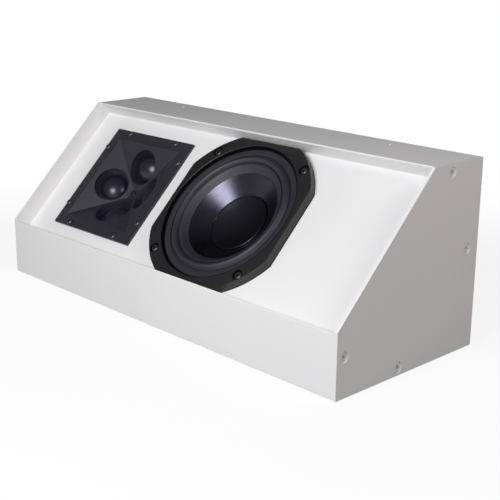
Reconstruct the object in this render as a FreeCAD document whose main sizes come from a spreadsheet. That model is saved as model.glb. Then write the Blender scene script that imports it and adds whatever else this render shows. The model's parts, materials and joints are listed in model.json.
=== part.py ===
import FreeCAD, Part
import os
import re

import Sketcher
from FreeCAD import Placement, Rotation, Vector

# Outdoor corner speaker: a folded sheet box with a slanted baffle, a woofer, and four small
# dome tweeters that share one plate. Millimetres and degrees. +X runs along the box, the front
# is towards -Y, +Z is up, and the origin is the middle of the underside.

# Driving sizes, each written once.
SIZES = {
    # Box
    "box_length": 460.0,
    "lip_height": 57.5,
    "top_depth": 67.0,
    "baffle_width": 160.5,
    "baffle_angle": 45.0,
    "recess": 17.5,
    "wall": 3.0,
    "end_wall": 3.0,
    "fold_radius": 1.0,
    # Fasteners that hold the end plates
    "end_screw_dia": 5.0,
    "end_head_dia": 10.0,
    "end_screw_length": 16.0,
    "end_head_height": 2.6,
    "end_top_inset": 7.5,
    "end_top_from_back": 43.0,
    "end_back_inset": 15.0,
    "end_back_level": 92.5,
    "end_front_inset": 8.5,
    "end_front_level": 35.0,
    "end_bottom_inset": 7.0,
    "end_bottom_from_front": 77.5,
    "end_block_length": 16.0,
    "end_block_width": 14.0,
    "end_block_rim": 6.0,
    # Mounting angle and its screws
    "angle_end_gap": 57.0,
    "angle_leg": 30.0,
    "angle_wall": 4.0,
    "top_screw_from_end": 87.5,
    "top_screw_inset": 17.7,
    "top_screw_dia": 4.0,
    "top_head_dia": 7.6,
    "top_head_height": 2.0,
    "top_screw_length": 10.0,
    "mount_spacing": 200.0,
    "mount_drop": 20.0,
    "mount_hole_dia": 6.0,
    "mount_clear_dia": 7.0,
    # Fits
    "fit": 0.1,
    "glue_gap": 0.3,
    # Woofer
    "driver_spacing": 163.5,
    "woofer_dia": 174.0,
    "woofer_edge_gap": 2.0,
    "woofer_gasket_thick": 1.5,
    "flange_thick": 7.0,
    "flange_width": 14.0,
    "flat_rim": 5.25,
    "seat_drop": 4.0,
    "rim_break": 0.5,
    "rim_groove": 1.5,
    "landing_gap": 1.2,
    "landing_width": 8.0,
    "basket_gap": 2.0,
    "basket_wall": 2.6,
    "basket_depth": 38.0,
    "neck_dia": 88.0,
    "neck_height": 11.0,
    "neck_floor": 2.5,
    "spider_seat": 6.0,
    "window_count": 6.0,
    "window_inner_width": 26.0,
    "window_outer_width": 39.0,
    "window_neck_gap": 2.0,
    "window_rim_gap": 3.0,
    "bolt_edge": 6.0,
    "woofer_screw_dia": 4.0,
    "woofer_head_dia": 7.4,
    "woofer_head_height": 4.0,
    "woofer_bore_dia": 10.4,
    "woofer_bore_depth": 4.6,
    "woofer_screw_length": 14.0,
    "surround_thick": 0.8,
    "roll_width": 8.6,
    "roll_height": 2.6,
    "skirt_drop": 5.9,
    "skirt_run": 8.8,
    "cone_depth": 22.0,
    "cone_thick": 1.0,
    "cap_dia": 60.5,
    "cap_dish": 6.0,
    "cap_thick": 0.8,
    "coil_dia": 33.0,
    "former_thick": 0.5,
    "former_length": 27.0,
    "winding_thick": 0.8,
    "winding_length": 12.0,
    "coil_gap": 0.6,
    "spider_thick": 0.6,
    "spider_wave": 1.2,
    "spider_waves": 3.0,
    "spider_collar": 2.4,
    "top_plate_thick": 6.0,
    "magnet_dia": 90.0,
    "magnet_bore_dia": 46.0,
    "magnet_thick": 18.0,
    "plate_dia": 86.0,
    "back_plate_thick": 6.0,
    "vent_dia": 10.0,
    "strip_width": 16.0,
    "strip_height": 9.0,
    "strip_thick": 2.0,
    "tab_width": 4.8,
    "tab_thick": 0.8,
    "tab_length": 8.0,
    # Tweeter plate
    "pod_from_end": 102.5,
    "pod_size": 124.0,
    "pod_thick": 2.0,
    "pod_gasket_thick": 0.5,
    "pyramid_size": 100.0,
    "face_tilt": 23.75,
    "pod_wall": 3.0,
    "pad_size": 11.0,
    "pod_rim": 9.0,
    "pod_screw_edge": 4.0,
    "pod_screw_spread": 74.6,
    "pod_screw_dia": 3.0,
    "pod_head_dia": 6.4,
    "pod_head_height": 2.3,
    "pod_screw_length": 9.0,
    "tweeter_spread": 28.0,
    "bore_dia": 38.0,
    "sleeve_wall": 3.0,
    "bore_depth": 8.0,
    # Tweeters
    "tweeter_flange_thick": 2.5,
    "dome_dia": 26.0,
    "dome_height": 6.0,
    "dome_thick": 0.4,
    "dome_roll_width": 3.2,
    "dome_roll_height": 1.3,
    "dome_rim": 1.6,
    "pot_dia": 31.0,
    "pot_depth": 15.0,
    "pot_wall": 2.5,
    "tweeter_magnet_dia": 21.0,
    "clamp_thick": 2.0,
    "clamp_width": 14.0,
    "clamp_reach": 7.0,
    "clamp_boss_dia": 11.0,
    "clamp_hub_dia": 21.0,
    "clamp_slack": 1.5,
    "clamp_screw_dia": 4.0,
    "clamp_head_dia": 7.0,
    "clamp_head_height": 2.6,
    # Crossover
    "board_from_end": 62.0,
    "board_length": 84.0,
    "board_width": 120.0,
    "board_thick": 1.6,
    "spacer_height": 8.0,
    "spacer_dia": 6.0,
    "board_hole_inset": 5.0,
    "board_screw_dia": 3.0,
    "board_head_dia": 5.6,
    "board_head_height": 2.0,
    "board_screw_length": 7.0,
    "coil_outer_dia": 34.0,
    "coil_inner_dia": 16.0,
    "coil_height": 16.0,
    "capacitor_dia": 16.0,
    "capacitor_length": 30.0,
    "resistor_length": 24.0,
    "resistor_width": 9.0,
    "coil_pitch": 38.0,
    "capacitor_first_y": 34.2,
    "capacitor_pitch": 22.8,
    "resistor_first_y": -32.3,
    "resistor_pitch": 13.3,
    # Input terminals in the back
    "cup_from_end": 70.0,
    "cup_level": 90.0,
    "cup_width": 66.0,
    "cup_height": 46.0,
    "cup_depth": 24.0,
    "cup_wall": 2.5,
    "cup_rim": 12.0,
    "cup_gasket_thick": 1.0,
    "post_spacing": 28.0,
    "post_knob_dia": 11.0,
    "post_length": 14.0,
    "post_stud_dia": 4.0,
    "post_tail": 9.0,
    "cup_screw_dia": 3.0,
    "cup_head_dia": 5.8,
    "cup_head_height": 1.6,
    "cup_screw_length": 10.0,
    # Wadding on the back wall
    "pad_end_gap": 6.0,
    "pad_cup_gap": 30.0,
    "pad_thick": 18.0,
    "pad_margin": 12.0,
}

# Worked-out places, from the sizes above. Levels of the drivers are measured out of the baffle.
LAYOUT = {
    "slope_run": "baffle_width * cos(baffle_angle)",
    "slope_rise": "baffle_width * sin(baffle_angle)",
    "box_depth": "top_depth + slope_run",
    "box_height": "lip_height + slope_rise",
    "back_y": "box_depth / 2",
    "top_fold_y": "back_y - top_depth",
    "recess_y": "recess * sin(baffle_angle)",
    "recess_z": "recess * cos(baffle_angle)",
    "fold_y": "wall * cos(baffle_angle)",
    "fold_z": "wall * sin(baffle_angle)",
    "lift_y": "wall * sin(baffle_angle)",
    "lift_z": "wall * cos(baffle_angle)",
    "baffle_y": "slope_run / 2 + recess_y - back_y",
    "baffle_z": "lip_height + slope_rise / 2 - recess_z",
    "shell_length": "box_length - 2 * end_wall",
    "shell_end": "shell_length / 2",
    "inner_back_y": "back_y - wall",
    "inner_top_z": "box_height - wall",
    "pod_x": "pod_from_end - box_length / 2",
    "woofer_x": "pod_x + driver_spacing",
    "board_x": "box_length / 2 - board_from_end",
    "cup_x": "box_length / 2 - cup_from_end",
    "angle_end": "shell_end - angle_end_gap",
    "top_screw_x": "box_length / 2 - top_screw_from_end",
    "seat_dia": "min(woofer_dia - 2 * flange_width; flat_size - 2 * flat_rim)",
    "mouth_dia": "seat_dia - 2 * landing_width",
    "roll_inner_dia": "mouth_dia - 2 * roll_width",
    "cone_dia": "roll_inner_dia - 2 * skirt_run",
    "bolt_circle": "woofer_dia - 2 * bolt_edge",
    "window_inner_dia": "neck_dia + 2 * window_neck_gap",
    "window_outer_dia": "mouth_dia - 2 * window_rim_gap",
    "flange_front": "woofer_gasket_thick + flange_thick",
    "seat_level": "flange_front - seat_drop",
    "landing_level": "seat_level + surround_thick",
    "roll_radius": "(mouth_dia + roll_inner_dia) / 4",
    "skirt_level": "landing_level - skirt_drop",
    "basket_floor": "-basket_depth",
    "neck_level": "neck_height - basket_depth",
    "basket_hole_dia": "mouth_dia + 2 * basket_wall + 2 * basket_gap",
    "flat_size": "baffle_width - 2 * woofer_edge_gap",
    "bolt_place": "bolt_circle / 2 * cos(45)",
    "cone_neck_r": "coil_dia / 2 + fit",
    "cone_slope": "cone_depth / (cone_dia / 2 - cone_neck_r)",
    "cap_level": "skirt_level - cone_slope * (cone_dia - cap_dia) / 2",
    "former_top": "skirt_level - cone_depth + cone_thick",
    "former_bottom": "former_top - former_length",
    "spider_outer_r": "neck_dia / 2 - basket_wall - fit",
    "spider_inner_r": "coil_dia / 2 + glue_gap",
    "spider_ledge_r": "neck_dia / 2 - basket_wall - spider_seat",
    "gap_outer_r": "coil_dia / 2 + winding_thick + coil_gap",
    "pole_r": "coil_dia / 2 - former_thick - coil_gap",
    "magnet_front": "basket_floor - top_plate_thick",
    "magnet_back": "magnet_front - magnet_thick",
    "yoke_back": "magnet_back - back_plate_thick",
    "pod_front": "pod_gasket_thick + pod_thick",
    "apex_drop": "pyramid_size / 2 * tan(face_tilt)",
    "pad_drop": "(pyramid_size - pad_size) / 2 * tan(face_tilt)",
    "wall_drop": "pod_wall / cos(face_tilt)",
    "pod_hole": "pod_size - 2 * pod_rim",
    "bore_level": "pod_front - (pyramid_size / 2 - tweeter_spread) * tan(face_tilt)",
    "pot_front": "-bore_depth - tweeter_flange_thick",
    "pot_back": "pot_front - pot_depth",
    "clamp_hub": "pod_front - apex_drop + pot_back / cos(face_tilt)",
    "boss_top": "pod_front - pad_drop - wall_drop - clamp_slack",
    "board_level": "wall + spacer_height",
    "board_top": "board_level + board_thick",
    "cup_face_y": "inner_back_y - cup_gasket_thick",
    "cup_floor_y": "cup_face_y - cup_depth",
}

doc = FreeCAD.newDocument("corner_speaker")
sizes_sheet = doc.addObject("Spreadsheet::Sheet", "Sizes")
layout_sheet = doc.addObject("Spreadsheet::Sheet", "Layout")
scratch_sheet = doc.addObject("Spreadsheet::Sheet", "Scratch")


def spelled(text):
    """A formula in the document's own terms, with each size and place as its sheet cell."""
    def cell(match):
        word = match.group(0)
        if word in SIZES:
            return "Sizes." + word
        if word in LAYOUT:
            return "Layout." + word
        return word
    return re.sub(r"[a-z][a-z_]*", cell, text)


def fill(sheet, contents):
    for row, (name, content) in enumerate(contents.items(), start=1):
        sheet.set(f"A{row}", name)
        sheet.set(f"B{row}", content)
        sheet.setAlias(f"B{row}", name)


fill(sizes_sheet, {name: str(size) for name, size in SIZES.items()})
fill(layout_sheet, {name: "=" + spelled(text) for name, text in LAYOUT.items()})
doc.recompute()


def number(text):
    """A formula's value, worked out on the scratch sheet."""
    scratch_sheet.set("A1", "=" + spelled(text))
    scratch_sheet.recompute()
    return float(scratch_sheet.get("A1"))


def bind(item, formulas):
    for name, text in formulas.items():
        item.setExpression(name, spelled(text))


def place(item, x="0", y="0", z="0", turn=Rotation()):
    item.Placement = Placement(Vector(), turn)
    bind(item, {"Placement.Base.x": x, "Placement.Base.y": y, "Placement.Base.z": z})
    return item


def on_baffle(item, x="0"):
    """Stand a piece on the middle line of the baffle, with its Z axis out of the baffle."""
    place(item, x, "baffle_y", "baffle_z", Rotation(Vector(1, 0, 0), number("baffle_angle")))
    bind(item, {"Placement.Rotation.Angle": "baffle_angle"})
    return item


def pin(sketch, curve, point, corner):
    """Hold a sketch point at two bound distances from the origin, or on the axis where one is zero."""
    for kind, axis, text in (("DistanceX", -2, corner[0]), ("DistanceY", -1, corner[1])):
        if text == "0":
            sketch.addConstraint(Sketcher.Constraint("PointOnObject", curve, point, axis))
        else:
            limit = Sketcher.Constraint(kind, -1, 1, curve, point, number(text))
            sketch.setExpression(f"Constraints[{sketch.addConstraint(limit)}]", spelled(text))


DOME = "dome"


def dome_middle(start, end):
    """The middle of an arc about a point on the axis, between its crown on the axis and its edge."""
    crown, edge = (start, end) if abs(start.x) < abs(end.x) else (end, start)
    height = edge.y - crown.y
    centre = Vector(0, crown.y + (edge.x * edge.x + height * height) / (2 * height), 0)
    halfway = (crown + edge) * 0.5 - centre
    return centre + halfway.normalize() * (edge - centre).Length


def draw(sketch, corners):
    """A closed outline. A corner is (x, y), or (x, y, bend) where an arc leads to it: one through the
    point bend, or a DOME, whose centre is on the axis of turning."""
    spots = [Vector(number(corner[0]), number(corner[1]), 0) for corner in corners]
    curves = []
    for index, corner in enumerate(corners):
        start, end = spots[index - 1], spots[index]
        first = 1
        if len(corner) == 3:
            bend = corner[2]
            middle = dome_middle(start, end) if bend == DOME else Vector(number(bend[0]), number(bend[1]), 0)
            curve = sketch.addGeometry(Part.Arc(start, middle, end))
            if not sketch.getPoint(curve, 1).isEqual(start, 1e-4):
                first = 2
            if bend == DOME:
                sketch.addConstraint(Sketcher.Constraint("PointOnObject", curve, 3, -2))
            else:
                bulge = sketch.addGeometry(Part.Point(middle), True)
                pin(sketch, bulge, 1, bend)
                sketch.addConstraint(Sketcher.Constraint("PointOnObject", bulge, 1, curve))
        else:
            curve = sketch.addGeometry(Part.LineSegment(start, end))
        curves.append((curve, first))
    for index, (curve, first) in enumerate(curves):
        follower, follower_first = curves[(index + 1) % len(curves)]
        joined = Sketcher.Constraint("Coincident", curve, 3 - first, follower, follower_first)
        sketch.addConstraint(joined)
        pin(sketch, curve, 3 - first, corners[index])


def new_body(label):
    item = doc.addObject("PartDesign::Body", label)
    item.Label = label
    return item


def new_sketch(item, role):
    plane = next(part for part in item.Origin.OriginFeatures if part.Role == role)
    page = item.newObject("Sketcher::SketchObject", item.Label + "_sketch")
    page.AttachmentSupport = [(plane, "")]
    page.MapMode = "FlatFace"
    return page


def turned(label, corners):
    """A piece turned about its own Z axis from (radius, level) corners."""
    item = new_body(label)
    page = new_sketch(item, "XZ_Plane")
    draw(page, corners)
    turn = item.newObject("PartDesign::Revolution", label + "_turn")
    turn.Profile = page
    turn.ReferenceAxis = (page, ["V_Axis"])
    turn.Angle = 360
    return item


def extruded(label, role, outlines, start, length):
    """A piece of constant section, from start along its plane's normal."""
    item = new_body(label)
    page = new_sketch(item, role)
    for corners in outlines:
        draw(page, corners)
    bind(page, {"AttachmentOffset.Base.z": start})
    pad = item.newObject("PartDesign::Pad", label + "_pad")
    pad.Profile = page
    bind(pad, {"Length": length})
    return item


def rectangle(width, height):
    """Corners of a rectangle about the sketch's origin."""
    x, y = f"({width}) / 2", f"({height}) / 2"
    return [(f"-{x}", f"-{y}"), (x, f"-{y}"), (x, y), (f"-{x}", y)]


def tube(outer, inner, low, high):
    """Profile corners of a ring between two radii and two levels."""
    return [(inner, low), (outer, low), (outer, high), (inner, high)]


def cylinder(diameter, low, high, x="0", y="0", turn=Rotation()):
    """A round bar along Z from low to high, or along the turned Z axis from its foot at low."""
    item = doc.addObject("Part::Cylinder", "bar")
    bind(item, {"Radius": f"({diameter}) / 2", "Height": f"({high}) - ({low})"})
    return place(item, x, y, low, turn)


def block(xs, ys, zs):
    """A box between two places along each axis."""
    item = doc.addObject("Part::Box", "block")
    sides = zip(("Length", "Width", "Height"), (xs, ys, zs))
    bind(item, {name: f"({high}) - ({low})" for name, (low, high) in sides})
    return place(item, xs[0], ys[0], zs[0])


def taper(wide, narrow, depth, level, up=False):
    """A square pyramid stump that narrows downwards from a level, or upwards."""
    item = doc.addObject("Part::Wedge", "stump")
    bind(item, {"Ymin": "0", "Ymax": depth})
    for axis in "XZ":
        bind(item, {f"{axis}min": f"-({wide}) / 2", f"{axis}max": f"({wide}) / 2"})
        bind(item, {f"{axis}2min": f"-({narrow}) / 2", f"{axis}2max": f"({narrow}) / 2"})
    return place(item, z=level, turn=Rotation(Vector(1, 0, 0), 90 if up else -90))


def combined(kind, label, pieces):
    item = doc.addObject(kind, label)
    item.Label = label
    if kind == "Part::Compound":
        item.Links = pieces
    else:
        item.Shapes = pieces
    return item


def fused(label, pieces):
    return combined("Part::MultiFuse", label, pieces)


def grouped(label, pieces):
    return combined("Part::Compound", label, pieces)


def shared(label, pieces):
    return combined("Part::MultiCommon", label, pieces)


def cut(label, base, tools):
    item = doc.addObject("Part::Cut", label)
    item.Label = label
    item.Base = base
    item.Tool = tools[0] if len(tools) == 1 else grouped(label + "_cutters", tools)
    return item


def screw(head_dia, head_height, shank_dia, length, countersunk=False):
    """A screw along Z with the top of its head at zero, or a pan head that stands on zero."""
    if countersunk:
        head = doc.addObject("Part::Cone", "head")
        bind(head, {"Radius1": f"{shank_dia} / 2", "Radius2": f"{head_dia} / 2", "Height": head_height})
        place(head, z=f"-{head_height}")
        shank = cylinder(shank_dia, f"-{length}", f"-{head_height}")
    else:
        head = cylinder(head_dia, "0", head_height)
        shank = cylinder(shank_dia, f"-{length}", "0")
    return fused("screw", [head, shank])


def countersink(head_dia, head_height, hole_dia, depth):
    """The cutter of a countersunk hole along -Z from zero."""
    cone = doc.addObject("Part::Cone", "sink")
    bind(cone, {"Radius1": f"{hole_dia} / 2", "Radius2": f"{head_dia} / 2 + fit", "Height": head_height})
    place(cone, z=f"-{head_height}")
    return fused("sink", [cone, cylinder(hole_dia, f"-({depth})", f"-{head_height}")])


def round_long_edges(item, radius, corners):
    """Round the edges that run along X through the given (y, z) corners."""
    doc.recompute()
    base = item.Tip
    fillet = item.newObject("PartDesign::Fillet", item.Label + "_fold")
    edges = []
    for index, edge in enumerate(base.Shape.Edges, start=1):
        span = edge.BoundBox
        if span.YLength + span.ZLength < 1e-6 and (round(span.YMin, 3), round(span.ZMin, 3)) in corners:
            edges.append(f"Edge{index}")
    fillet.Base = (base, edges)
    bind(fillet, {"Radius": radius})
    item.Tip = fillet


TURN_TO_X = Rotation(Vector(0, 1, 0), 90)
TURN_TO_BACK = Rotation(Vector(1, 0, 0), -90)
nodes = []


def keep(item, label=None):
    """Count an object as a sub-part under its label."""
    if label:
        item.Label = label
    nodes.append(item)
    return item


# Enclosure: the folded section, with the baffle set back between its two folds.
BOX_OUTLINE = [
    ("-back_y", "0"),
    ("back_y", "0"),
    ("back_y", "box_height"),
    ("top_fold_y", "box_height"),
    ("top_fold_y + recess_y", "box_height - recess_z"),
    ("recess_y - back_y", "lip_height - recess_z"),
    ("-back_y", "lip_height"),
]
INNER_OUTLINE = [
    ("wall - back_y", "wall"),
    ("back_y - wall", "wall"),
    ("back_y - wall", "box_height - wall"),
    ("top_fold_y + fold_y + (wall + fold_z) * tan(baffle_angle)", "box_height - wall"),
    ("top_fold_y + fold_y + recess_y + lift_y", "box_height + fold_z - recess_z - lift_z"),
    ("recess_y + lift_y - fold_y - back_y", "lip_height - fold_z - recess_z - lift_z"),
    ("wall - back_y", "lip_height - fold_z - (wall + fold_y) / tan(baffle_angle)"),
]
END_OUTLINE = BOX_OUTLINE[:4] + BOX_OUTLINE[6:]


def corner_spots(outline):
    return {(round(number(y), 3), round(number(z), 3)) for y, z in outline}


SECTION = [BOX_OUTLINE, INNER_OUTLINE]
folded_sheet = extruded("folded_sheet", "YZ_Plane", SECTION, "-shell_end", "shell_length")
round_long_edges(folded_sheet, "fold_radius", corner_spots(BOX_OUTLINE))


def around_woofer(make, level):
    """Four copies of a cutter or screw at the woofer's bolt places, at a level."""
    spots = [(f"{a}bolt_place", f"{b}bolt_place") for a in ("", "-") for b in ("", "-")]
    return [place(make(), across, up, level) for across, up in spots]


def pod_spots(edge, spread):
    """Eight places near the edge of the tweeter plate, two along each side."""
    spots = []
    for a in ("", "-"):
        for b in ("", "-"):
            spots.append((f"{a}({edge})", f"{b}({spread})"))
            spots.append((f"{a}({spread})", f"{b}({edge})"))
    return spots


POD_EDGE = "pod_size / 2 - pod_screw_edge"
POD_SPREAD = "pod_screw_spread / 2"
DEEP = "4 * wall"

WOOFER_SHANK_HOLE = "woofer_screw_dia + 2 * fit"
woofer_holes = [cylinder("basket_hole_dia", f"-({DEEP})", "wall")]
woofer_holes += around_woofer(lambda: cylinder(WOOFER_SHANK_HOLE, "0", DEEP), "-2 * wall")
woofer_opening = on_baffle(grouped("woofer_opening", woofer_holes), "woofer_x")

HALF_HOLE = "pod_hole / 2"
pod_holes = [block((f"-{HALF_HOLE}", HALF_HOLE), (f"-{HALF_HOLE}", HALF_HOLE), (f"-({DEEP})", "wall"))]
for across, up in pod_spots(POD_EDGE, POD_SPREAD):
    pod_holes.append(cylinder("pod_screw_dia + 2 * fit", f"-({DEEP})", "wall", across, up))
pod_opening = on_baffle(grouped("pod_opening", pod_holes), "pod_x")

TOP_SCREW_Y = "back_y - top_screw_inset"
TOP_SCREW_XS = ("top_screw_x", "-top_screw_x")
top_holes = []
for x in TOP_SCREW_XS:
    hole = countersink("top_head_dia", "top_head_height", "(top_screw_dia + 2 * fit)", "wall + fit")
    top_holes.append(place(hole, x, TOP_SCREW_Y, "box_height"))

MOUNT_LEVEL = "inner_top_z - mount_drop"
MOUNT_XS = ("mount_spacing / 2", "-mount_spacing / 2")
mount_holes = []
for x in MOUNT_XS:
    hole = cylinder("mount_clear_dia", "0", DEEP, turn=TURN_TO_BACK)
    mount_holes.append(place(hole, x, "inner_back_y - wall", MOUNT_LEVEL, TURN_TO_BACK))

CUP_SCREW_X = "(cup_width / 2 + cup_rim / 2)"
CUP_SCREW_Z = "(cup_height / 2 + cup_rim / 2)"


def cup_corners(make, y="back_y"):
    """Four copies, facing out of the back, at the corners of the terminal cup's rim."""
    spots = [(f"cup_x {a} {CUP_SCREW_X}", f"cup_level {b} {CUP_SCREW_Z}") for a in "+-" for b in "+-"]
    return [place(make(), x, y, z, TURN_TO_BACK) for x, z in spots]


cup_window = block(
    ("cup_x - cup_width / 2", "cup_x + cup_width / 2"),
    ("inner_back_y - wall", "back_y + wall"),
    ("cup_level - cup_height / 2", "cup_level + cup_height / 2"),
)
cup_holes = cup_corners(
    lambda: countersink("cup_head_dia", "cup_head_height", "(cup_screw_dia + 2 * fit)", "wall + fit")
)
shell_cutters = [woofer_opening, pod_opening, cup_window] + top_holes + mount_holes + cup_holes
keep(cut("enclosure_shell", folded_sheet, shell_cutters))

# End plates, their countersunk screws and the tapped blocks behind them.
END_SPOTS = [
    ("back_y - end_top_from_back", "box_height - end_top_inset"),
    ("back_y - end_back_inset", "end_back_level"),
    ("end_front_inset - back_y", "end_front_level"),
    ("end_bottom_from_front - back_y", "end_bottom_inset"),
]
HALF_BLOCK = "end_block_width / 2"
END_BLOCK_SIDES = [
    ((f"{END_SPOTS[0][0]} - {HALF_BLOCK}", f"{END_SPOTS[0][0]} + {HALF_BLOCK}"),
     (f"{END_SPOTS[0][1]} - end_block_rim", "inner_top_z")),
    ((f"{END_SPOTS[1][0]} - end_block_rim", "inner_back_y"),
     (f"{END_SPOTS[1][1]} - {HALF_BLOCK}", f"{END_SPOTS[1][1]} + {HALF_BLOCK}")),
    (("wall - back_y", f"{END_SPOTS[2][0]} + end_block_rim"),
     (f"{END_SPOTS[2][1]} - {HALF_BLOCK}", "lip_height - fold_z - recess_z - lift_z - fit")),
    ((f"{END_SPOTS[3][0]} - {HALF_BLOCK}", f"{END_SPOTS[3][0]} + {HALF_BLOCK}"),
     ("wall", f"{END_SPOTS[3][1]} + end_block_rim")),
]

for side, sign in (("left", "-"), ("right", "")):
    outward = Rotation(Vector(0, 1, 0), 90 if side == "right" else -90)
    face = f"{sign}box_length / 2"
    plate_start = "shell_end" if side == "right" else "-box_length / 2"
    flat_plate = extruded(f"flat_plate_{side}", "YZ_Plane", [END_OUTLINE], plate_start, "end_wall")
    round_long_edges(flat_plate, "fold_radius", corner_spots(END_OUTLINE))
    sinks = []
    screws = []
    blocks = []
    for (y, z), (ys, zs) in zip(END_SPOTS, END_BLOCK_SIDES):
        hole = countersink("end_head_dia", "end_head_height", "(end_screw_dia + 2 * fit)", "end_wall + fit")
        sinks.append(place(hole, face, y, z, outward))
        bolt = screw("end_head_dia", "end_head_height", "end_screw_dia", "end_screw_length", True)
        screws.append(place(bolt, face, y, z, outward))
        ends = ("shell_end - end_block_length", "shell_end")
        if side == "left":
            ends = ("-shell_end", "end_block_length - shell_end")
        tapped = cylinder("end_screw_dia + 2 * fit", "0", "end_block_length + end_wall")
        place(tapped, f"{sign}shell_end", y, z, Rotation(Vector(0, 1, 0), -90 if side == "right" else 90))
        blocks.append(cut("end_block", block(ends, ys, zs), [tapped]))
    keep(cut(f"end_plate_{side}", flat_plate, sinks))
    keep(grouped(f"end_screws_{side}", screws))
    keep(grouped(f"end_blocks_{side}", blocks))

# Mounting angle in the top back corner, hung from the two top screws.
angle_bar = extruded(
    "angle_bar", "YZ_Plane",
    [[("inner_back_y", "inner_top_z"), ("inner_back_y - angle_leg", "inner_top_z"),
      ("inner_back_y - angle_leg", "inner_top_z - angle_wall"),
      ("inner_back_y - angle_wall", "inner_top_z - angle_wall"),
      ("inner_back_y - angle_wall", "inner_top_z - angle_leg"),
      ("inner_back_y", "inner_top_z - angle_leg")]],
    "-angle_end", "2 * angle_end",
)
tapped_holes = []
for x in TOP_SCREW_XS:
    hole = cylinder("top_screw_dia + 2 * fit", "inner_top_z - 2 * angle_wall", "box_height", x, TOP_SCREW_Y)
    tapped_holes.append(hole)
for x in MOUNT_XS:
    hole = cylinder("mount_hole_dia", "0", "3 * angle_wall", turn=TURN_TO_BACK)
    tapped_holes.append(place(hole, x, "inner_back_y - 2 * angle_wall", MOUNT_LEVEL, TURN_TO_BACK))
keep(cut("mounting_angle", angle_bar, tapped_holes))
keep(grouped("top_screws", [
    place(screw("top_head_dia", "top_head_height", "top_screw_dia", "top_screw_length", True),
          x, TOP_SCREW_Y, "box_height")
    for x in TOP_SCREW_XS
]))

# Woofer: everything is turned about its axis, which stands out of the baffle.
def woofer_piece(item):
    return keep(on_baffle(item, "woofer_x"))


GASKET_RING = tube("woofer_dia / 2", "basket_hole_dia / 2", "0", "woofer_gasket_thick")
gasket_blank = turned("gasket_blank", GASKET_RING)
HALF_FLAT = "flat_size / 2"
FLATS = (f"-{HALF_FLAT}", HALF_FLAT)


def flats(low, high):
    return block(FLATS, FLATS, (low, high))


trimmed_gasket = shared("trimmed_gasket", [gasket_blank, flats("-basket_depth", "2 * flange_front")])
gasket_holes = around_woofer(lambda: cylinder(WOOFER_SHANK_HOLE, "0", "2 * flange_front"), "-wall")
woofer_piece(cut("woofer_gasket", trimmed_gasket, gasket_holes))

NECK_INNER = "neck_dia / 2 - basket_wall"
basket_blank = turned("basket_blank", [
    ("woofer_dia / 2", "woofer_gasket_thick"),
    ("woofer_dia / 2", "flange_front - rim_break"),
    ("woofer_dia / 2 - rim_break", "flange_front"),
    ("seat_dia / 2 + rim_break", "flange_front"),
    ("seat_dia / 2", "flange_front - rim_break"),
    ("seat_dia / 2", "seat_level - rim_groove"),
    ("seat_dia / 2 - landing_gap", "seat_level - rim_groove"),
    ("seat_dia / 2 - landing_gap", "seat_level"),
    ("mouth_dia / 2", "seat_level"),
    ("mouth_dia / 2", "0"),
    (NECK_INNER, "neck_level + spider_seat / 2"),
    (NECK_INNER, "neck_level"),
    ("spider_ledge_r", "neck_level"),
    ("spider_ledge_r", "neck_level - neck_floor"),
    (NECK_INNER, "neck_level - neck_floor"),
    (NECK_INNER, "basket_floor + neck_floor"),
    ("magnet_bore_dia / 2 + neck_floor", "basket_floor + neck_floor"),
    ("magnet_bore_dia / 2 + neck_floor", "basket_floor"),
    ("neck_dia / 2", "basket_floor"),
    ("neck_dia / 2", "neck_level + spider_seat / 2 - basket_wall / 2"),
    ("mouth_dia / 2 + basket_wall", "-basket_wall / 2"),
    ("mouth_dia / 2 + basket_wall", "woofer_gasket_thick"),
])
FLAT_TOP = "flat_size - 2 * rim_break"
broken_flats = taper(f"{FLAT_TOP} + 2 * woofer_dia", FLAT_TOP, "woofer_dia", "flange_front - woofer_dia", up=True)
trimmed_basket = shared("trimmed_basket", [
    basket_blank,
    flats("-2 * basket_depth", "2 * flange_front"),
    broken_flats,
])
HEAD_SEAT = "flange_front - woofer_bore_depth"
basket_holes = around_woofer(lambda: cylinder(WOOFER_SHANK_HOLE, "0", "2 * flange_front"), "-wall")
basket_holes += around_woofer(lambda: cylinder("woofer_bore_dia", "0", "2 * woofer_bore_depth"), HEAD_SEAT)
window_step = 360 / int(SIZES["window_count"])
for index in range(int(SIZES["window_count"])):
    window = extruded("window", "XY_Plane", [[
        ("window_inner_dia / 2", "-window_inner_width / 2"),
        ("window_outer_dia / 2", "-window_outer_width / 2"),
        ("window_outer_dia / 2", "window_outer_width / 2"),
        ("window_inner_dia / 2", "window_inner_width / 2"),
    ]], "neck_level", "-neck_level + basket_wall / 4")
    window.Placement = Placement(Vector(), Rotation(Vector(0, 0, 1), (index + 0.5) * window_step))
    basket_holes.append(window)
woofer_piece(cut("woofer_frame", trimmed_basket, basket_holes))

woofer_piece(turned("woofer_surround", [
    ("seat_dia / 2 - landing_gap", "seat_level"),
    ("seat_dia / 2 - landing_gap", "landing_level"),
    ("mouth_dia / 2", "landing_level"),
    ("roll_inner_dia / 2", "landing_level", ("roll_radius", "landing_level + roll_height")),
    ("cone_dia / 2 + glue_gap", "skirt_level"),
    ("cone_dia / 2 + glue_gap", "skirt_level - surround_thick"),
    ("roll_inner_dia / 2 + surround_thick", "seat_level"),
    ("mouth_dia / 2 - surround_thick", "seat_level", ("roll_radius", "seat_level + roll_height")),
]))

woofer_piece(turned("woofer_cone", [
    ("cone_dia / 2", "skirt_level"),
    ("cone_dia / 2", "skirt_level - cone_thick"),
    ("cone_neck_r", "skirt_level - cone_depth - cone_thick"),
    ("cone_neck_r", "skirt_level - cone_depth"),
]))

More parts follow.
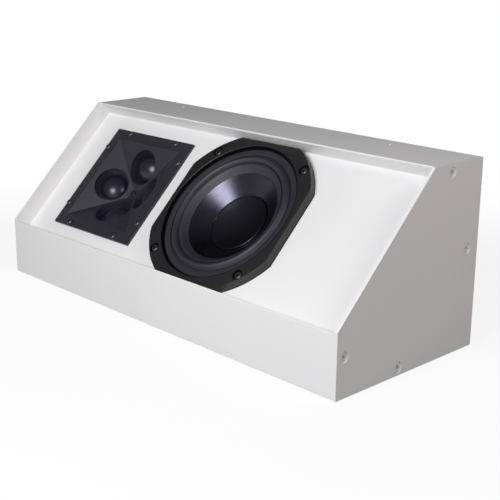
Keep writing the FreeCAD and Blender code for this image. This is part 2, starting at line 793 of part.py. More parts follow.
CAP_EDGE = "cap_dia / 2"
woofer_piece(turned("woofer_dust_cap", [
    (CAP_EDGE, "cap_level + fit"),
    (CAP_EDGE, "cap_level + cap_thick"),
    ("0", "cap_level + cap_thick - cap_dish", DOME),
    ("0", "cap_level - cap_dish"),
    (f"{CAP_EDGE} - cap_thick", "cap_level - cone_slope * cap_thick + fit", DOME),
]))

woofer_piece(turned("woofer_voice_coil", [
    ("coil_dia / 2 - former_thick", "former_top"),
    ("coil_dia / 2 - former_thick", "former_bottom"),
    ("coil_dia / 2 + winding_thick", "former_bottom"),
    ("coil_dia / 2 + winding_thick", "former_bottom + winding_length"),
    ("coil_dia / 2", "former_bottom + winding_length"),
    ("coil_dia / 2", "former_top"),
]))


def spider_waves():
    """Corners of the pleated spider: out along its face, ridge to furrow, and back along its underside."""
    count = 2 * int(SIZES["spider_waves"])
    pleats_start = "(spider_inner_r + spider_collar)"
    pitch = f"((spider_ledge_r - {pleats_start}) / {count})"
    face = [("spider_inner_r", "neck_level + spider_thick"), (pleats_start, "neck_level + spider_thick")]
    for index in range(count):
        sign = "+" if index % 2 == 0 else "-"
        fold = f"{pleats_start} + {pitch} * {index + 0.5}"
        face.append((fold, f"neck_level + spider_thick {sign} spider_wave"))
    face += [("spider_ledge_r", "neck_level + spider_thick"), ("spider_outer_r", "neck_level + spider_thick")]
    underside = [(across, f"{level} - spider_thick") for across, level in reversed(face)]
    return face + underside


woofer_piece(turned("woofer_spider", spider_waves()))
TOP_PLATE_RING = tube("plate_dia / 2", "gap_outer_r", "magnet_front", "basket_floor")
woofer_piece(turned("woofer_top_plate", TOP_PLATE_RING))
MAGNET_RING = tube("magnet_dia / 2", "magnet_bore_dia / 2", "magnet_back", "magnet_front")
woofer_piece(turned("woofer_magnet", MAGNET_RING))
woofer_piece(turned("woofer_yoke", [
    ("vent_dia / 2", "yoke_back"),
    ("plate_dia / 2", "yoke_back"),
    ("plate_dia / 2", "magnet_back"),
    ("pole_r", "magnet_back"),
    ("pole_r", "basket_floor"),
    ("vent_dia / 2", "basket_floor"),
]))

STRIP_BACK = "neck_dia / 2 + fit"
STRIP_FRONT = f"{STRIP_BACK} + strip_thick"
STRIP_LOW = "basket_floor"
TAB_LEVEL = f"{STRIP_LOW} + strip_height / 2"
strip_pieces = [block((STRIP_BACK, STRIP_FRONT), ("-strip_width / 2", "strip_width / 2"),
                      (STRIP_LOW, f"{STRIP_LOW} + strip_height"))]
for sign in "+-":
    middle = f"({sign}strip_width / 4)"
    strip_pieces.append(block(
        (STRIP_BACK + " + strip_thick / 2", STRIP_FRONT + " + tab_length"),
        (f"{middle} - tab_width / 2", f"{middle} + tab_width / 2"),
        (f"{TAB_LEVEL} - tab_thick / 2", f"{TAB_LEVEL} + tab_thick / 2"),
    ))
woofer_piece(fused("woofer_terminal_strip", strip_pieces))

woofer_piece(grouped("woofer_screws", around_woofer(lambda: screw(
    "woofer_head_dia", "woofer_head_height", "woofer_screw_dia", "woofer_screw_length"), HEAD_SEAT)))

# Tweeter plate: a thin square plate with an inverted pyramid, and a sleeved bore in each of its faces.
def pod_piece(item):
    return keep(on_baffle(item, "pod_x"))


TWEETERS = {"right": 0, "top": 90, "left": 180, "bottom": 270}


def bore_frame(angle):
    """Where a bore's axis meets its pyramid face, with Z out of the bore, in the plate's own frame."""
    lean = Rotation(Vector(0, 1, 0), -number("face_tilt"))
    spot = Placement(Vector(number("tweeter_spread"), 0, number("bore_level")), lean)
    return Placement(Vector(), Rotation(Vector(0, 0, 1), angle)).multiply(spot)


HALF_POD = "pod_size / 2"
POD_SIDES = (f"-{HALF_POD}", HALF_POD)
pod_solids = [
    block(POD_SIDES, POD_SIDES, ("pod_gasket_thick", "pod_front")),
    taper("pyramid_size + 2 * (wall_drop - pod_thick) / tan(face_tilt)", "pad_size",
          "pad_drop + wall_drop - pod_thick", "pod_gasket_thick"),
]
pod_cutters = [
    taper("pyramid_size", "pad_size", "pad_drop", "pod_front"),
    cylinder("clamp_screw_dia + 2 * fit", "2 * boss_top", "pod_front"),
]
for angle in TWEETERS.values():
    sleeve = cylinder("bore_dia + 2 * sleeve_wall", "-bore_depth", "-fit")
    sleeve_group = grouped("sleeve", [sleeve])
    sleeve_group.Placement = bore_frame(angle)
    pod_solids.append(sleeve_group)
    bore_group = grouped("bore", [cylinder("bore_dia", "-2 * bore_depth", "bore_depth")])
    bore_group.Placement = bore_frame(angle)
    pod_cutters.append(bore_group)
for across, up in pod_spots(POD_EDGE, POD_SPREAD):
    pod_cutters.append(cylinder("pod_screw_dia + 2 * fit", "-wall", "2 * pod_front", across, up))
pod_piece(cut("tweeter_plate", fused("pod_blank", pod_solids), pod_cutters))

POD_OUTLINES = [rectangle("pod_size", "pod_size"), rectangle("pod_hole", "pod_hole")]
pod_gasket = extruded("pod_gasket", "XY_Plane", POD_OUTLINES, "0", "pod_gasket_thick")
gasket_cutters = [cylinder("pod_screw_dia + 2 * fit", "-wall", "wall", across, up)
                  for across, up in pod_spots(POD_EDGE, POD_SPREAD)]
pod_piece(cut("tweeter_gasket", pod_gasket, gasket_cutters))

pod_screws = []
for across, up in pod_spots(POD_EDGE, POD_SPREAD):
    bolt = screw("pod_head_dia", "pod_head_height", "pod_screw_dia", "pod_screw_length")
    pod_screws.append(place(bolt, across, up, "pod_front"))
pod_piece(grouped("tweeter_plate_screws", pod_screws))

# Tweeters: each is turned about its bore's axis, with level zero at the pyramid face.
POT_INNER = "pot_dia / 2 - pot_wall"
ROLL_OUTER = "dome_dia / 2 + dome_roll_width"
RIM_OUTER = f"{ROLL_OUTER} + dome_rim"
DOME_BASE = "-bore_depth"
DOME_TOP = "-bore_depth + dome_thick"
TWEETER_PIECES = {
    "dome": [
        ("0", f"{DOME_BASE} + dome_height"),
        ("dome_dia / 2", DOME_BASE, DOME),
        (ROLL_OUTER, DOME_BASE, ("dome_dia / 2 + dome_roll_width / 2", f"{DOME_BASE} + dome_roll_height")),
        (RIM_OUTER, DOME_BASE),
        (RIM_OUTER, DOME_TOP),
        (ROLL_OUTER, DOME_TOP),
        ("dome_dia / 2", DOME_TOP, ("dome_dia / 2 + dome_roll_width / 2", f"{DOME_TOP} + dome_roll_height")),
        ("0", f"{DOME_TOP} + dome_height", DOME),
    ],
    "flange": tube("bore_dia / 2 + sleeve_wall", ROLL_OUTER, "pot_front", DOME_BASE),
    "pot": [
        ("0", "pot_back"),
        ("pot_dia / 2", "pot_back"),
        ("pot_dia / 2", "pot_front"),
        (POT_INNER, "pot_front"),
        (POT_INNER, "pot_back + pot_wall"),
        ("0", "pot_back + pot_wall"),
    ],
    "magnet": [
        ("0", "pot_back + pot_wall"),
        ("tweeter_magnet_dia / 2", "pot_back + pot_wall"),
        ("tweeter_magnet_dia / 2", "pot_front"),
        ("0", "pot_front"),
    ],
}
doc.recompute()
pod_frame = Placement(Vector(number("pod_x"), number("baffle_y"), number("baffle_z")),
                      Rotation(Vector(1, 0, 0), number("baffle_angle")))
for side, angle in TWEETERS.items():
    for piece, corners in TWEETER_PIECES.items():
        item = keep(turned(f"tweeter_{side}_{piece}", corners))
        item.Placement = pod_frame.multiply(bore_frame(angle))

# One clamp pulls all four tweeters against their sleeves: four arms that start inside a round hub.
ARM_START = "pot_back * tan(face_tilt) - (tweeter_spread - clamp_hub_dia / 4) / cos(face_tilt)"
arms = []
for angle in TWEETERS.values():
    arm = grouped("arm", [block((ARM_START, "clamp_reach"), ("-clamp_width / 2", "clamp_width / 2"),
                                ("pot_back - clamp_thick", "pot_back"))])
    arm.Placement = bore_frame(angle)
    arms.append(arm)
HUB_TOP = "clamp_hub + clamp_hub_dia / 3 * tan(face_tilt)"
hub = cylinder("clamp_hub_dia", "clamp_hub - 2 * clamp_thick", HUB_TOP)
boss = cylinder("clamp_boss_dia", "clamp_hub", "boss_top")
clamp_hole = cylinder("clamp_screw_dia + 2 * fit", "2 * clamp_hub", "pod_front")
pod_piece(cut("tweeter_clamp", fused("clamp_blank", arms + [hub, boss]), [clamp_hole]))
CLAMP_SCREW_LENGTH = "(pod_front - pad_drop - clamp_hub)"
clamp_screw = screw("clamp_head_dia", "clamp_head_height", "clamp_screw_dia", CLAMP_SCREW_LENGTH)
pod_piece(grouped("tweeter_clamp_screw", [place(clamp_screw, z="pod_front - pad_drop")]))

# Crossover on the floor of the box, on spacers.
BOARD_X = "board_length / 2 - board_hole_inset"
BOARD_Y = "board_width / 2 - board_hole_inset"


def on_board(make, level):
    """Four copies at the fixing holes of the board, at a level."""
    spots = [(f"board_x {a} ({BOARD_X})", f"{b}({BOARD_Y})") for a in "+-" for b in ("", "-")]
    return [place(make(), x, y, level) for x, y in spots]


board = block(("board_x - board_length / 2", "board_x + board_length / 2"),
              ("-board_width / 2", "board_width / 2"), ("board_level", "board_top"))
BOARD_HOLE = "board_screw_dia + 2 * fit"
board_holes = on_board(lambda: cylinder(BOARD_HOLE, "0", "4 * board_thick"), "board_level - board_thick")
keep(cut("crossover_board", board, board_holes))


def spacer():
    bore = cylinder(BOARD_HOLE, "0", "2 * spacer_height")
    return cut("spacer", cylinder("spacer_dia", "0", "spacer_height"), [bore])


keep(grouped("board_spacers", on_board(spacer, "wall")))


def board_screw():
    return screw("board_head_dia", "board_head_height", "board_screw_dia", "board_screw_length")


keep(grouped("board_screws", on_board(board_screw, "board_top")))


def winding(x, y):
    hole = cylinder("coil_inner_dia", "board_level", "2 * coil_height + board_top", x, y)
    return cut("winding", cylinder("coil_outer_dia", "board_top", "board_top + coil_height", x, y), [hole])


ROWS = ("board_x - board_length / 4", "board_x + board_length / 4")
CAPACITORS = 3
RESISTORS = 2
keep(grouped("crossover_inductors", [winding(ROWS[0], y) for y in ("coil_pitch", "0", "-coil_pitch")]))
capacitors = []
for index in range(CAPACITORS):
    can = cylinder("capacitor_dia", "0", "capacitor_length")
    y = f"capacitor_first_y - {index} * capacitor_pitch"
    start = f"{ROWS[1]} - capacitor_length / 2"
    capacitors.append(place(can, start, y, "board_top + capacitor_dia / 2", TURN_TO_X))
keep(grouped("crossover_capacitors", capacitors))
resistors = []
for index in range(RESISTORS):
    y = f"resistor_first_y - {index} * resistor_pitch"
    resistors.append(block((f"{ROWS[1]} - resistor_length / 2", f"{ROWS[1]} + resistor_length / 2"),
                           (f"{y} - resistor_width / 2", f"{y} + resistor_width / 2"),
                           ("board_top", "board_top + resistor_width")))
keep(grouped("crossover_resistors", resistors))

# Input terminals: a cup behind a window in the back, with two binding posts on its floor.
def cup_block(grow, ys):
    """A block around the cup's axis, grown on each side of its mouth."""
    return block((f"cup_x - cup_width / 2 - {grow}", f"cup_x + cup_width / 2 + {grow}"), ys,
                 (f"cup_level - cup_height / 2 - {grow}", f"cup_level + cup_height / 2 + {grow}"))


def cup_screw_hole():
    return cylinder("cup_screw_dia + 2 * fit", "0", "2 * cup_depth")


POST_XS = {"positive": "cup_x - post_spacing / 2", "negative": "cup_x + post_spacing / 2"}
cup_solid = fused("cup_solid", [
    cup_block("cup_rim", ("cup_face_y - cup_wall", "cup_face_y")),
    cup_block("cup_wall", ("cup_floor_y - cup_wall", "cup_face_y")),
])
cup_cutters = [cup_block("0", ("cup_floor_y", "back_y"))]
cup_cutters += cup_corners(cup_screw_hole, "cup_floor_y")
cup_cutters += [place(cylinder("post_stud_dia + 2 * fit", "0", "cup_depth"), x, "cup_floor_y - 2 * cup_wall",
                      "cup_level", TURN_TO_BACK) for x in POST_XS.values()]
keep(cut("terminal_cup", cup_solid, cup_cutters))
seal = cup_block("cup_rim", ("cup_face_y", "inner_back_y"))
seal_cutters = [cup_block("0", ("cup_floor_y", "back_y"))]
seal_cutters += cup_corners(cup_screw_hole, "cup_floor_y")
keep(cut("terminal_gasket", seal, seal_cutters))
keep(grouped("terminal_screws", cup_corners(
    lambda: screw("cup_head_dia", "cup_head_height", "cup_screw_dia", "cup_screw_length", True))))
for name, x in POST_XS.items():
    post = turned(f"binding_post_{name}", [
        ("0", "-cup_wall - post_tail"),
        ("post_stud_dia / 2", "-cup_wall - post_tail"),
        ("post_stud_dia / 2", "-cup_wall - post_tail / 2"),
        ("post_stud_dia", "-cup_wall - post_tail / 2"),
        ("post_stud_dia", "-cup_wall"),
        ("post_stud_dia / 2", "-cup_wall"),
        ("post_stud_dia / 2", "0"),
        ("post_knob_dia / 2", "0"),
        ("post_knob_dia / 2", "post_length"),
        ("0", "post_length"),
    ])
    keep(place(post, x, "cup_floor_y", "cup_level", TURN_TO_BACK))

# Wadding that lines the back wall, below the mounting angle and clear of the terminal cup.
PAD_XS = ("pad_end_gap + end_block_length - shell_end", "cup_x - cup_width / 2 - cup_rim - pad_cup_gap")
PAD_ZS = ("wall + pad_margin", "inner_top_z - angle_leg - pad_margin")
keep(block(PAD_XS, ("inner_back_y - pad_thick", "inner_back_y"), PAD_ZS), "damping_pad")

doc.removeObject(scratch_sheet.Name)
doc.recompute()

for item in doc.Objects:
    if "Invalid" in item.State or "Error" in item.State:
        raise RuntimeError(f"{item.Label} failed: {item.getStatusString()}")
for item in nodes:
    if item.Shape.isNull() or not item.Shape.isValid():
        raise RuntimeError(f"{item.Label} has no valid shape")

os.makedirs("parts", exist_ok=True)
for item in nodes:
    item.Shape.exportStep(f"parts/{item.Label}.step")
    print(f"{item.Label}: {len(item.Shape.Solids)} solids, {item.Shape.Volume:.0f} cubic mm")
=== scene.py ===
# %% [markdown]
# # An outdoor corner speaker
#
# The object is a long wedge of white sheet metal. Its slanted baffle carries a woofer and a black plate
# with four small domes. The CAD model already holds every solid at its true size and place, so this
# lesson loads it as a fixed frame and then does what a renderer needs: finer meshes where light catches
# a curve, a finish for every surface, a studio and a camera.

# %% Load the frame
import json
import bpy
import bmesh
import numpy as np
from mathutils import Matrix


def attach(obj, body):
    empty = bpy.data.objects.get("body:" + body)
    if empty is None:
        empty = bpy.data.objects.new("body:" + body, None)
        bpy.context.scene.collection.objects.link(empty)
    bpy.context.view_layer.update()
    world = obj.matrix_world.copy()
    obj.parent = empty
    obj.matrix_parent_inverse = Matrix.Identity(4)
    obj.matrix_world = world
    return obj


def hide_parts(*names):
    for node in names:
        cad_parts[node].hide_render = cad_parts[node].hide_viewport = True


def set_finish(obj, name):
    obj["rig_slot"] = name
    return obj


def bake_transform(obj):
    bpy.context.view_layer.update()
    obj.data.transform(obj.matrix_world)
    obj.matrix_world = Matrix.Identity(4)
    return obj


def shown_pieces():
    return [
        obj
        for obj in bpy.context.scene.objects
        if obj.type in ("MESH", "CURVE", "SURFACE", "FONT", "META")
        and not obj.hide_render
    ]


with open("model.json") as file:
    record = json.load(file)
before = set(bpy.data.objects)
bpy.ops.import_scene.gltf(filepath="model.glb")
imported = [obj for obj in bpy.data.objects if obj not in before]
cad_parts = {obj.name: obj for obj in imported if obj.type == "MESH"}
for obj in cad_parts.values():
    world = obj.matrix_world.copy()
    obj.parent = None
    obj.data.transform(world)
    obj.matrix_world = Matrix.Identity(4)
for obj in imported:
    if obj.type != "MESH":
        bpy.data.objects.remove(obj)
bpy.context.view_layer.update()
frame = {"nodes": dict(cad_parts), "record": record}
NODES = frame["nodes"]
CABINET, MOVING = "cabinet", "woofer_moving"
MM = 0.001

# %% [markdown]
# ## Frames of reference
#
# The drivers do not stand upright: they sit on a baffle that leans back by 45 degrees. It would be
# possible to model each piece upright and turn the object afterwards, but the finished objects should
# stay unturned, so that their patterns do not slide. So a piece is worked out in its own small frame,
# with Z out of the baffle, and one matrix product carries the points to their place.

# %% Frames
LEAN = np.sqrt(0.5)
OUT_OF_BAFFLE = np.array([0.0, -LEAN, LEAN])
ALONG, UP_SLOPE = np.array([1.0, 0.0, 0.0]), np.array([0.0, LEAN, LEAN])
BAFFLE_Y, BAFFLE_Z = -21.126, 101.871
WOOFER_X, POD_X = 36.0, -127.5


def frame_at(origin_mm, x_axis, y_axis, z_axis):
    """A frame as its origin in millimetres and a matrix whose rows are its three axes."""
    return np.array(origin_mm, float), np.array([x_axis, y_axis, z_axis], float)


def on_baffle(x_mm):
    """A frame on the baffle's middle line: X along the box, Y up the slope, Z out of the baffle."""
    return frame_at((x_mm, BAFFLE_Y, BAFFLE_Z), ALONG, UP_SLOPE, OUT_OF_BAFFLE)


def carry(points_mm, where):
    """Points times the axes, plus the origin: from a frame in millimetres to the scene in metres."""
    origin, axes = where
    return (points_mm @ axes + origin) * MM


WOOFER, POD = on_baffle(WOOFER_X), on_baffle(POD_X)
print("woofer stands at", np.round(carry(np.zeros(3), WOOFER), 4))

# %% [markdown]
# ## A grid becomes a mesh
#
# Nearly every new piece here is a surface with two parameters: one runs round an axis, the other runs
# along a profile. Modelling by hand with extrude and spin would do it too, but an array of points is
# exact, and copies cost nothing: one more axis on the array is a whole set of screws.

# %% Grid to mesh
SEAM_M, CREASE = 1e-7, 35.0


def outward(mesh, smooth_degrees):
    """Merge points that meet at a seam or pole, turn faces outwards, shade smooth up to an angle."""
    shape = bmesh.new()
    shape.from_mesh(mesh)
    bmesh.ops.remove_doubles(shape, verts=shape.verts, dist=SEAM_M)
    bmesh.ops.recalc_face_normals(shape, faces=shape.faces)
    shape.to_mesh(mesh)
    shape.free()
    mesh.shade_smooth()
    mesh.set_sharp_from_angle(angle=np.radians(smooth_degrees))
    return mesh


def grid_mesh(name, points, smooth_degrees=CREASE):
    """A mesh from points[copy, ring, step]: each quad joins two neighbours on a ring to the same
    two on the next ring, and the last step of a ring joins its first."""
    copies, rings, steps = points.shape[:3]
    index = np.arange(copies * rings * steps).reshape(copies, rings, steps)
    ahead = np.roll(index, -1, axis=2)
    quads = np.stack([index[:, :-1], ahead[:, :-1], ahead[:, 1:], index[:, 1:]], axis=-1)
    mesh = bpy.data.meshes.new(name)
    mesh.from_pydata(points.reshape(-1, 3), [], quads.reshape(-1, 4))
    return outward(mesh, smooth_degrees)


print("edges look sharp from", CREASE, "degrees")

# %% [markdown]
# A mesh is only points and faces. An object shows it in the scene, and three things are set for each
# object: the body that it rides on, the CAD nodes that it stands for, which are hidden, and its finish
# slot.

# %% Mesh to piece
def place(name, data):
    """A new object for a mesh, a lamp or a camera, linked to the scene."""
    holder = bpy.data.objects.new(name, data)
    bpy.context.scene.collection.objects.link(holder)
    return holder


def add_piece(name, mesh, slot, *replaced, body=CABINET):
    """A piece for a mesh, which stands for CAD nodes and rides on a body. A piece given no body is left
    unattached."""
    piece = place(name, mesh)
    if body:
        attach(piece, body)
    if replaced:
        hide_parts(*replaced)
    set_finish(piece, slot)
    print(name, "faces", len(mesh.polygons))
    return piece


# %% [markdown]
# Blender's Screw modifier and Spin tool carry a profile round an axis. The same is done here with one
# array product, because the result is then exact on every copy and can stand in any of the frames.

# %% Profile round an axis
Z_AXIS = np.array([0, 0, 1.0])


def ring(steps):
    """Angles that share a full turn evenly, without the last one, which is the first again."""
    return np.linspace(0, 2 * np.pi, steps, endpoint=False)


def turn(profile_mm, where, steps):
    """A profile of (radius, level) carried round a frame's Z: x = r cos a, y = r sin a, z = level."""
    profile = np.asarray(profile_mm, float)
    angle = ring(steps)
    spokes = np.stack([np.cos(angle), np.sin(angle), np.zeros(steps)], axis=-1)
    points = profile[:, :1, None] * spokes + profile[:, 1:, None] * Z_AXIS
    return carry(points, where)[None]


print("four steps lie at", np.degrees(ring(4)), "degrees")

# %% [markdown]
# ## Woofer: surround
#
# The surround is moulded rubber. It is glued on a landing inside the frame, drops into a narrow groove,
# goes over a roll into a steep little valley, and slopes down a wide skirt to the cone. A torus would
# give the roll but not the rest, so one closed profile is carried round the axis instead. Its upper
# side is a chain of cubics, because a cubic can be told where to start and end and how steeply. The
# underside is a plainer chain of its own, about the thickness of the rubber below.

# %% Surround sizes
SEAT, LANDING, SKIRT, SKIN = 4.5, 5.3, -0.6, 0.8
LANDING_EDGE, LIP_R, LIP_LEVEL, SOFT, BEVEL = 71.0, 64.8, 4.9, 0.3, 1.2
GROOVE_R, GROOVE_LEVEL, FOOT_LEVEL = 63.8, 3.6, 4.6
CREST_R, CREST_LEVEL, FOLD_R, FOLD_LEVEL = 60.0, 8.0, 57.2, 6.3
VALLEY_R, VALLEY_LEVEL = 55.5, 3.2
SKIRT_R, SKIRT_TOP, SKIRT_EDGE = 55.1, 4.7, 47.9
FLANK_SLOPE, FOLD_SLOPE, SKIRT_SLOPE = -1.1, 1.4, 0.8
ROUND_STEPS, SOFT_CREASE = 160, 40


def cubic(start, end, start_slope, end_slope, count=20):
    """A curve of (radius, level) that leaves its start and meets its end with given slopes: the
    Hermite cubic, two levels and two slopes, each times its own cubic weight of the share s."""
    s = np.linspace(0, 1, count)
    run = end[0] - start[0]
    level = ((2 * s ** 3 - 3 * s ** 2 + 1) * start[1] + (3 * s ** 2 - 2 * s ** 3) * end[1]
             + (s ** 3 - 2 * s ** 2 + s) * run * start_slope + (s ** 3 - s ** 2) * run * end_slope)
    return np.stack([start[0] + s * run, level], axis=-1)


print("roll rises", round(CREST_LEVEL - LANDING, 1), "mm over the landing")

# %% Surround
crest, fold = (CREST_R, CREST_LEVEL), (FOLD_R, FOLD_LEVEL)
valley, skirt_top = (VALLEY_R, VALLEY_LEVEL), (SKIRT_R, SKIRT_TOP)
surround_top = np.concatenate([
    [[LANDING_EDGE, SEAT], [LANDING_EDGE, LANDING - SOFT], [LANDING_EDGE - SOFT, LANDING]],
    [[LIP_R + BEVEL, LANDING], [LIP_R, LIP_LEVEL], [LIP_R, GROOVE_LEVEL], [GROOVE_R, GROOVE_LEVEL]],
    cubic((GROOVE_R, FOOT_LEVEL), crest, FLANK_SLOPE, 0.0),
    cubic(crest, fold, 0.0, FOLD_SLOPE)[1:],
    cubic(fold, valley, FOLD_SLOPE, 0.0)[1:],
    cubic(skirt_top, (SKIRT_EDGE, SKIRT), 0.0, SKIRT_SLOPE),
])
crest_under, groove_under = (CREST_R, CREST_LEVEL - SKIN), (GROOVE_R, GROOVE_LEVEL - SKIN)
valley_under = (VALLEY_R, VALLEY_LEVEL - SKIN)
lip_under = LIP_R + SOFT / 2
surround_under = np.concatenate([
    cubic((SKIRT_EDGE, SKIRT - SKIN), valley_under, SKIRT_SLOPE, 0.0),
    cubic(valley_under, crest_under, 0.0, 0.0)[1:],
    cubic(crest_under, groove_under, 0.0, FLANK_SLOPE)[1:],
    [[lip_under, GROOVE_LEVEL - SKIN], [lip_under, SEAT], [LANDING_EDGE, SEAT]],
])
surround_points = turn(np.concatenate([surround_top, surround_under]), WOOFER, ROUND_STEPS)
surround = add_piece("woofer_surround_roll", grid_mesh("surround", surround_points, SOFT_CREASE),
                     "surround_rubber", "woofer_surround", body=None)

# %% [markdown]
# Between the landing and the wall of the frame lies a near-black matt ring. It is painted shade, which
# makes the gap there look bottomless. It covers the wall and the floor of the gap, so its section is an
# L. Two rings could be joined for it, but as a profile of six corners it is one piece without a seam.

# %% Painted shade ring
SHADE_RING_OUT, SHADE_RING_IN, SHADE_RING_TOE = 72.95, 72.75, 71.1
SHADE_RING_TOP, SHADE_RING_BOTTOM, SHADE_RING_SKIN = 8.35, 4.55, 0.2
shade_ring_floor = SHADE_RING_BOTTOM + SHADE_RING_SKIN
shade_ring_profile = [(SHADE_RING_IN, SHADE_RING_TOP), (SHADE_RING_IN, shade_ring_floor), (SHADE_RING_TOE, shade_ring_floor), (SHADE_RING_TOE, SHADE_RING_BOTTOM),
        (SHADE_RING_OUT, SHADE_RING_BOTTOM), (SHADE_RING_OUT, SHADE_RING_TOP), (SHADE_RING_IN, SHADE_RING_TOP)]
shade_ring_points = turn(shade_ring_profile, WOOFER, ROUND_STEPS)
# This ring is painted shade, put in the gap where there is only shadow.
painted_shade_ring = add_piece("woofer_painted_shade_ring", grid_mesh("shade_ring_profile", shade_ring_points), "foam_gasket")

# %% [markdown]
# ## Woofer: cone and cap
#
# The cone is pressed from a glossy sheet, and its profile is a straight line. A cone primitive would
# do, but it has no thickness and few rings, and a glossy curve shows every facet, so the line is turned
# in many steps.

# %% Cone
CONE_EDGE, CONE_NECK, CONE_DEPTH, CONE_SKIN = 47.6, 16.6, 22.0, 1.0
CONE_RINGS, GLOSSY_STEPS = 24, 192
share = np.linspace(0, 1, CONE_RINGS)[:, None]
cone_rim, cone_neck = np.array([CONE_EDGE, SKIRT]), np.array([CONE_NECK, SKIRT - CONE_DEPTH])
cone_face = cone_rim * (1 - share) + cone_neck * share
cone_back = cone_face[::-1] - [0, CONE_SKIN]
cone_profile = np.concatenate([cone_face, cone_back, cone_face[:1]])
add_piece("woofer_cone_skin", grid_mesh("cone", turn(cone_profile, WOOFER, GLOSSY_STEPS)),
          "cone_polypropylene", "woofer_cone", body=MOVING)

# %% [markdown]
# The cap is satin and dished, not domed: it curves down into the cone. Two thin beads of glue run round
# its edge and catch the light. A squashed sphere would give the dish alone. A profile of an arc and two
# small bows gives the beads too, as part of the same skin.

# %% Cap
CAP_R, CAP_DISH, CAP_SKIN, BEAD = 30.25, 6.0, 0.8, 0.9


def bow(start, end, rise, count):
    """Half an ellipse from one (radius, level) to another, which rises above the line between them."""
    sweep = np.linspace(0, np.pi, count)[:, None]
    start, end = np.array(start, float), np.array(end, float)
    middle, half = (start + end) / 2, (start - end) / 2
    return middle + half * np.cos(sweep) + np.array([0, rise]) * np.sin(sweep)


def cap(radius, edge_level, crown_level, count):
    """A spherical cap from its crown on the axis to its edge. The ball's radius R follows from the
    cap's radius and rise; then r = R sin a and level = crown - R (1 - cos a)."""
    rise = crown_level - edge_level
    ball = (radius ** 2 + rise ** 2) / (2 * rise)
    sweep = np.linspace(0, np.arcsin(radius / ball), count)
    return np.stack([ball * np.sin(sweep), crown_level - ball * (1 - np.cos(sweep))], axis=-1)


cap_base = SKIRT - CONE_DEPTH * (CONE_EDGE - CAP_R) / (CONE_EDGE - CONE_NECK)
cap_top = cap_base + CAP_SKIN
cap_profile = np.concatenate([
    cap(CAP_R - 2 * BEAD, cap_top, cap_top - CAP_DISH, count=28),
    bow((CAP_R - 1.8 * BEAD, cap_top), (CAP_R - BEAD, cap_top), BEAD / 3, count=8),
    bow((CAP_R - 0.8 * BEAD, cap_top), (CAP_R, cap_top - BEAD / 4), BEAD / 2, count=8),
    [[CAP_R, cap_base]],
    cap(CAP_R - CAP_SKIN, cap_base, cap_base - CAP_DISH, count=20)[::-1],
])
cap_dish = add_piece("woofer_cap_dish", grid_mesh("cap", turn(cap_profile, WOOFER, GLOSSY_STEPS)),
                     "cone_polypropylene", "woofer_dust_cap", body=MOVING)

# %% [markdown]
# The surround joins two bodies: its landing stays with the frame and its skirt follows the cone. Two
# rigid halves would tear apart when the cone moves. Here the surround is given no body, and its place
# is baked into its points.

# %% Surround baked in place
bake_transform(surround)

# %% [markdown]
# ## Woofer: spider
#
# Behind the cone, a pleated cloth disc called the spider centres the voice coil. Its rim is fixed and
# its collar moves, so it stretches outwards in every direction, while a blend runs along one straight
# line. The disc is cut into wedges, each round its own spoke, and two neighbours share the edge that
# lies at the same angle from both spokes. The wedges are given no body: their places are baked into
# their points.

# %% Pleats
SPIDER_LEVEL, SPIDER_SKIN, PLEAT, PLEATS, PLEAT_POINTS = -27, 0.6, 1.2, 3, 90
COLLAR_IN, COLLAR_OUT, LEDGE_IN, LEDGE_OUT = 16.8, 19.2, 35.4, 41.3
reach = np.linspace(COLLAR_IN, LEDGE_OUT, PLEAT_POINTS)
pleated = np.clip((reach - COLLAR_OUT) / (LEDGE_IN - COLLAR_OUT), 0, 1)
under = np.stack([reach, SPIDER_LEVEL + PLEAT * np.sin(2 * np.pi * PLEATS * pleated)], axis=1)
loop = np.concatenate([under + [0, SPIDER_SKIN], under[::-1]])
print("a pleat is", round((LEDGE_IN - COLLAR_OUT) / PLEATS, 1), "mm wide")

# %% Spider
WEDGES, WEDGE_SPOKES, MIDDLE_SPOKE, PLEAT_CREASE = 16, 5, 2, 60
angles = (np.arange(WEDGES)[:, None] + np.linspace(0, 1, WEDGE_SPOKES)) * 2 * np.pi / WEDGES
spokes = np.stack([np.cos(angles), np.sin(angles), 0 * angles], axis=-1)
wedges = carry(loop[:, :1] * spokes[:, :, None] + loop[:, 1:] * Z_AXIS, WOOFER)
for number, (wedge, ways) in enumerate(zip(wedges, spokes)):
    cloth = add_piece(f"woofer_spider_wedge_{number}", grid_mesh("spider", wedge[None], PLEAT_CREASE),
                      "spider_cloth", "woofer_spider", body=None)
    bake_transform(cloth)

# %% [markdown]
# ## Tweeter domes
#
# Each tweeter shows a soft coated dome, deep in a tilted bore. Half a sphere set in a disc would leave
# a crease where they meet, while the real film runs out into a low skirt, so a cap is cut short and a
# cubic carries its slope on until it lies flat. The four bores are one bore turned about the plate's
# axis by quarter turns, so one profile and four frames make them all.

# %% Dome profile
DOME_BASE, DOME_R, DOME_RISE, DOME_EDGE = -8.0, 15.0, 7.0, 12.6
DOME_SKIN, DOME_TOE, DOME_RIM_R = 0.4, 1.2, 17.8
dome_level = DOME_BASE + DOME_SKIN
dome_cap = cap(DOME_R, dome_level, dome_level + DOME_RISE, count=36)
dome_cap = dome_cap[dome_cap[:, 0] < DOME_EDGE]
dome_step = np.diff(dome_cap[-2:], axis=0)[0]
dome_slope = dome_step[1] / dome_step[0]
dome_top = np.concatenate([
    dome_cap,
    cubic(dome_cap[-1], (DOME_R + DOME_TOE, dome_level), dome_slope, 0.0, count=12)[1:],
    [[DOME_RIM_R, dome_level]],
])
dome_profile = np.concatenate([dome_top, (dome_top - [0, DOME_SKIN])[::-1]])
print("the skirt leaves the dome at a slope of", round(dome_slope, 2))

